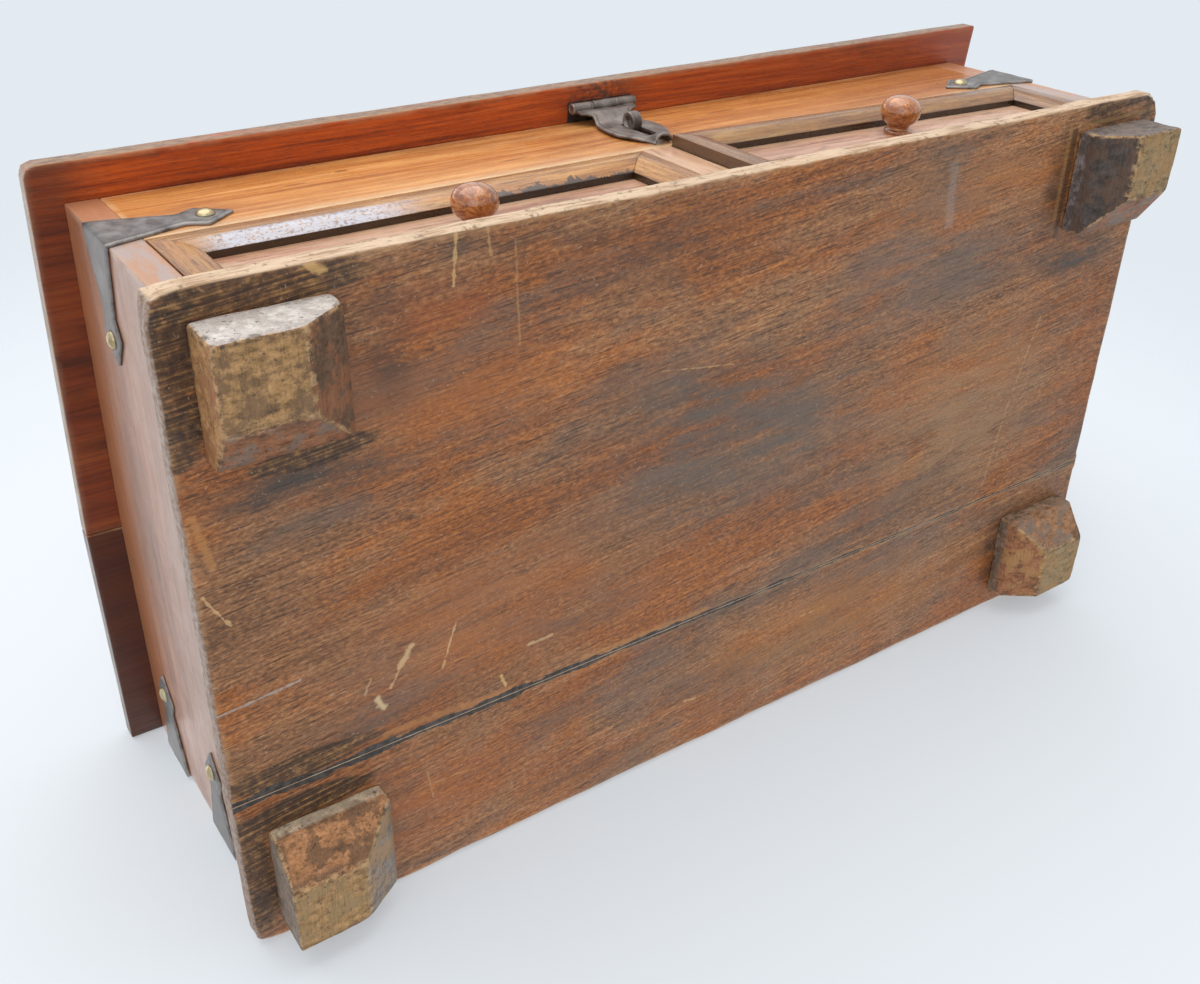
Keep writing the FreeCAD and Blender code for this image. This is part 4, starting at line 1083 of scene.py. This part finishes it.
def make_knob(word, material):
    """A turned ball, slightly flattened, on a neck with a small collar."""
    _, width, _, _, _ = drawer_space(word)
    inset, rise = (111.7, 59.7) if word == "left" else (111.7, 66.7)
    x = inset - width if word == "left" else -inset
    ball_y = -4.1
    profile = [(0.0, ball_y - 7.0)]
    for index in range(1, 20):
        angle = math.pi * index / 20
        if angle > math.radians(150):
            break
        bulge = 9.25 * math.sin(angle) ** 0.86
        ring = 0.05 * math.cos(index * 2.6)
        profile.append((bulge + ring, ball_y - 7.0 * math.cos(angle)))
    profile += [(4.9, 2.6), (4.7, 3.3), (5.2, 3.9), (6.4, 4.3), (6.6, 4.9), (6.5, 5.8), (0.0, 5.8)]
    place = to_drawer(word)
    bm = lathe(profile)
    for vertex in bm.verts:
        vertex.co = place(vertex.co + Vector((x, 0, rise)))
    finish_piece(f"knob_{word}_turned", bm, f"drawer_{word}", [f"knob_{word}"], material)


# Iron

def through(points, at):
    """Height at a place of straight lines drawn through pairs of place and height."""
    for (low, first), (high, last) in zip(points, points[1:]):
        if at <= high:
            return first + (last - first) * max(0.0, at - low) / (high - low)
    return points[-1][1]


STRAP_HALVES = [(0, 14.5), (29.5, 6.0), (31.0, 6.4), (37, 9.5), (38, 9.2), (STRAP_REACH, 0.35)]
STRAP_ROWS = (-1.0, -0.94, -0.86, -0.76, -0.6, -0.3, 0.0, 0.3, 0.6, 0.76, 0.86, 0.94, 1.0)
STRAP_STATIONS = (0.0, 0.6, 1.2, 2.5, 5, 8, 11, 14, 17, 20, 23, 26, 28.5, 29.5, 31, 33, 35, 37, 38, 40,
                  42, 44, 46, 48, 49, STRAP_REACH)


def make_strap(node, side, end, level, seed, material):
    """A thin iron plate bent round an upright corner."""
    face_x = OUTER_X * side
    face_y = FRONT_Y if end < 0 else BACK_Y
    corner = Vector((face_x, face_y))
    ways = (Vector((-side, 0)), Vector((0, -end)))
    outward = (Vector((0, end)), Vector((side, 0)))
    bend = 1.2
    bm = bmesh.new()
    layer = bm.verts.layers.float.new("edge")
    stations = [(1, value) for value in reversed(STRAP_STATIONS[1:])]
    stations += [(0, value) for value in STRAP_STATIONS]

    def flat(arm, reach, lift):
        if reach < bend:
            return corner + (outward[0] + outward[1]) * lift * 0.92
        return corner + ways[arm] * reach + outward[arm] * lift

    grids = []
    for lift in (0.05, STRAP_THICK):
        grid = []
        for arm, reach in stations:
            half = through(STRAP_HALVES, reach)
            line = []
            for row in STRAP_ROWS:
                z = level + half * row + 0.3 * wander((reach, row * 9, arm * 40), 9, seed)
                rim = 1 - min(1.0, (1 - abs(row)) * half / 3.0)
                if reach > 33:
                    rim = max(rim, 1 - min(1.0, (STRAP_REACH - reach) / 5.0))
                top = lift
                if lift > 1:
                    top = lift - 0.4 * smooth(rim, 0.75, 1.0) + 0.15 * wander((reach, z, arm * 30), 7, seed)
                spot = flat(arm, reach, top)
                item = bm.verts.new((spot.x, spot.y, z))
                item[layer] = rim
                line.append(item)
            grid.append(line)
        grids.append(grid)
    rows = len(STRAP_ROWS) - 1
    for grid in grids:
        for first, second in zip(grid, grid[1:]):
            for row in range(rows):
                bm.faces.new((first[row], first[row + 1], second[row + 1], second[row]))
    under, over = grids
    for index in range(len(stations) - 1):
        for row in (0, rows):
            bm.faces.new((under[index][row], under[index + 1][row],
                          over[index + 1][row], over[index][row]))
    for index in (0, len(stations) - 1):
        for row in range(rows):
            bm.faces.new((under[index][row], under[index][row + 1],
                          over[index][row + 1], over[index][row]))
    finish_piece(f"{node}_wrought", bm, "case", [node], material)


def nail_spots():
    """Centre and outward direction of every strap nail."""
    reach = STRAP_REACH - 9 - STRAP_THICK
    spots = []
    for side in (-1, 1):
        for end, rise in ((-1, 75.5), (1, 111), (1, 49)):
            face_y = (FRONT_Y if end < 0 else BACK_Y) + STRAP_THICK * end
            level = BASE_TOP + rise
            spots.append(((OUTER_X - reach) * side, face_y, level, (0, end, 0)))
            y = (FRONT_Y if end < 0 else BACK_Y) - reach * end
            spots.append(((OUTER_X + STRAP_THICK) * side, y, level, (side, 0, 0)))
    return spots


def make_nails(material):
    bm = bmesh.new()
    for number, (x, y, z, way) in enumerate(nail_spots()):
        turn = Vector(way).to_track_quat("Y", "Z").to_matrix().to_4x4()
        matrix = Matrix.Translation((x, y, z)) @ turn
        profile = [(0.0, 2.15), (1.2, 2.02), (2.3, 1.62), (3.1, 1.02), (3.6, 0.4), (3.7, 0.0),
                   (0.0, 0.0)]
        part = lathe(profile, 28)
        for vertex in part.verts:
            vertex.co = matrix @ vertex.co
            vertex.co += Vector((0.12 * wander(vertex.co, 2.2, number),) * 3)
        mesh = bpy.data.meshes.new("nail")
        part.to_mesh(mesh)
        part.free()
        bm.from_mesh(mesh)
        bpy.data.meshes.remove(mesh)
    finish_piece("strap_nails_domed", bm, "case", ["strap_nails"], material)


def make_iron(strap, brass):
    straps = [("strap_front_left", -1, -1, 75.5), ("strap_front_right", 1, -1, 75.5),
              ("strap_back_left_upper", -1, 1, 111), ("strap_back_left_lower", -1, 1, 49),
              ("strap_back_right_upper", 1, 1, 111), ("strap_back_right_lower", 1, 1, 49)]
    for seed, (node, side, end, rise) in enumerate(straps):
        make_strap(node, side, end, BASE_TOP + rise, seed, strap)
    make_nails(brass)


def tube(axis_point, low_x, high_x, radius, bore, seed=0):
    """A rolled barrel about X with rounded ends, as a bmesh."""
    span = high_x - low_x
    soft = 0.45
    profile = [(bore, 0), (radius - soft, 0), (radius - 0.13, 0.12), (radius, soft)]
    steps_along = max(2, round(span / 1.5))
    for index in range(1, steps_along):
        at = soft + (span - 2 * soft) * index / steps_along
        profile.append((radius - 0.10 * abs(wander((at, low_x, 0), 3, seed)), at))
    profile += [(radius, span - soft), (radius - 0.13, span - 0.12), (radius - soft, span),
                (bore, span), (bore, 0)]
    bm = lathe(profile, 32)
    bmesh.ops.remove_doubles(bm, verts=bm.verts, dist=1e-5)
    layer = bm.verts.layers.float.new("edge")
    for vertex in bm.verts:
        near = min(vertex.co.y, span - vertex.co.y)
        vertex[layer] = 1 - smooth(near, 0.1, 1.6)
        vertex.co = Vector((low_x + vertex.co.y, axis_point[0] + vertex.co.x,
                            axis_point[1] + vertex.co.z))
    return bm


def add_mesh(bm, other):
    """Add another bmesh to the first one."""
    mesh = bpy.data.meshes.new("part")
    other.to_mesh(mesh)
    other.free()
    bm.from_mesh(mesh)
    bpy.data.meshes.remove(mesh)


LEAF_HALVES = [(2.9, 15.4), (5.6, 15.2), (6.8, 11.2), (7.8, 10.4), (10, 10.9), (14, 12.0),
               (18, 13.0), (22, 13.6), (27, 13.8), (31, 13.1), (35, 11.8), (38, 10.2), (41, 8.3),
               (43.5, 6.3), (45, 5.2), (48, 4.9)]
LEAF_DROPS = (2.9, 4.2, 5.6, 6.4, 7.2, 8, 9, 10, 11, 12.5, 14, 16, 18, 20, 22, 24.5, 27, 29, 31, 33, 35,
              37, 38.5, 40, 41, 42, 43, 44, 45, 46, 47, 48)
LEAF_COLUMNS = (-1, -0.96, -0.88, -0.76, -0.6, -0.45, -0.3, -0.15, 0, 0.15, 0.3, 0.45, 0.6, 0.76,
                0.88, 0.96, 1)


def leaf_point(drop, column, under):
    """A point of the hasp's leaf: bent back from its knuckles, arched at the tip."""
    half = through(LEAF_HALVES, drop)
    x = half * column
    upper, lower = HASP_AXIS[0] + 0.575, FRONT_Y - 2.4
    y = upper + (lower - upper) * smooth(drop, 5.2, 12.6)
    y += 0.35 * smooth(abs(column), 0.75, 1.0) + 0.2 * wander((x, drop, 0), 8, 5)
    tip = smooth(drop, 39.5, 45.5)
    arch = 1 - min(1.0, abs(x) / 4.6) ** 2
    y += tip * (1.2 - 3.6 * math.sqrt(arch))
    thick = 1.1
    if under:
        y += thick
    return Vector((HASP_X + x, min(y, FRONT_Y - 0.35), HASP_AXIS[1] - drop))


def make_leaf(material):
    bm = bmesh.new()
    layer = bm.verts.layers.float.new("edge")
    grids = []
    for under in (False, True):
        grid = []
        for drop in LEAF_DROPS:
            half = through(LEAF_HALVES, drop)
            line = []
            for column in LEAF_COLUMNS:
                item = bm.verts.new(leaf_point(drop, column, under))
                rim = 1 - min(1.0, (1 - abs(column)) * half / 2.4)
                item[layer] = max(rim, smooth(drop, 45.5, 48))
                line.append(item)
            grid.append(line)
        grids.append(grid)
    columns, rows = len(LEAF_COLUMNS) - 1, len(LEAF_DROPS) - 1
    for grid in grids:
        for first, second in zip(grid, grid[1:]):
            for index in range(columns):
                bm.faces.new((first[index], first[index + 1], second[index + 1], second[index]))
    over, below = grids
    for row in range(rows):
        for index in (0, columns):
            bm.faces.new((over[row][index], over[row + 1][index],
                          below[row + 1][index], below[row][index]))
    for row in (0, rows):
        for index in range(columns):
            bm.faces.new((over[row][index], over[row][index + 1],
                          below[row][index + 1], below[row][index]))
    for low, high in ((HASP_X - 17.5, HASP_X - 6.35), (HASP_X + 6.35, HASP_X + 17.5)):
        add_mesh(bm, tube(HASP_AXIS, low, high, 2.5, 1.05, 3))
        face_y = HASP_AXIS[0] + 0.575
        add_mesh(bm, worn_block((max(low, HASP_X - 15.4), face_y, HASP_AXIS[1] - 3.1),
                                (min(high, HASP_X + 15.4), face_y + 1.1, HASP_AXIS[1] - 1.7),
                                lambda point: 0.15, edge=0.3, cell=4))
    piece = finish_piece("hasp_leaf_wrought", bm, "hasp", ["hasp_leaf"], material)
    slot = (HASP_X - 2.8, FRONT_Y - 12, HASP_AXIS[1] - 44), (HASP_X + 2.8, FRONT_Y + 1,
                                                             HASP_AXIS[1] - 18.5)
    cut_out(piece, [slot])


def make_staple(material):
    center = (FRONT_Y - 4.7, HASP_AXIS[1] - 23.8)
    bm = tube(center, HASP_X - 2.5, HASP_X + 2.5, 4.4, 2.9, 4)
    add_mesh(bm, worn_block((HASP_X - 2.5, FRONT_Y - 1.05, center[1] - 1.5),
                            (HASP_X + 2.5, FRONT_Y, center[1] + 1.5), lambda point: 0.2,
                            edge=0.4, cell=3))
    finish_piece("staple_rolled", bm, "case", ["staple"], material)


def soften(item, width):
    """Break the edges of a node that keeps the model's own shape."""
    modifier = item.modifiers.new("soft", "BEVEL")
    modifier.width = width * MM
    modifier.segments = 2
    modifier.limit_method = "ANGLE"
    modifier.angle_limit = math.radians(40)


def dress_nodes(materials):
    """Give every carried-over node its material and softer edges."""
    for name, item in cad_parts.items():
        axis = "y" if "_side_" in name or name == "drawer_divider" else "x"
        if name.startswith("hinge"):
            material, width = materials["hinge"], 0.2
        elif name.startswith("hasp") or name == "staple":
            material, width = materials["hasp"], 0.2
        else:
            material, width = materials[axis], 0.5
        item.data.materials.clear()
        item.data.materials.append(material)
        soften(item, width)


def make_box():
    make_camera()
    make_feet()
    make_base(base_wood())
    make_carcass(side_wood(), back_wood(), rail_wood(), muntin_wood())
    make_top(lid_wood())
    panel, knob = panel_wood(), knob_wood()
    for word in ("left", "right"):
        make_mouldings(word)
        make_panel(word, panel)
        make_knob(word, knob)
    grey = [(0.3, (0.085, 0.078, 0.075)), (0.5, (0.20, 0.185, 0.175)), (0.7, (0.36, 0.34, 0.33))]
    brown = [(0.3, (0.085, 0.065, 0.055)), (0.5, (0.20, 0.165, 0.145)), (0.7, (0.36, 0.31, 0.28))]
    gold = [(0.3, (0.36, 0.27, 0.14)), (0.5, (0.54, 0.44, 0.26)), (0.7, (0.74, 0.65, 0.44))]
    hasp = iron("hasp_iron", brown, seed=0.9, rust_share=0.5)
    make_iron(iron("strap_iron", grey, seed=0.3),
              iron("nail_brass", gold, seed=2.3, gloss=(0.25, 0.45), metal=0.9))
    make_leaf(hasp)
    make_staple(hasp)
    dress_nodes({"hinge": iron("hinge_iron", grey, seed=1.7), "hasp": hasp,
                 "x": inner_wood("x"), "y": inner_wood("y")})


make_box()
make_world()
make_stage()
make_lights()
bpy.context.scene.view_settings.view_transform = "Standard"
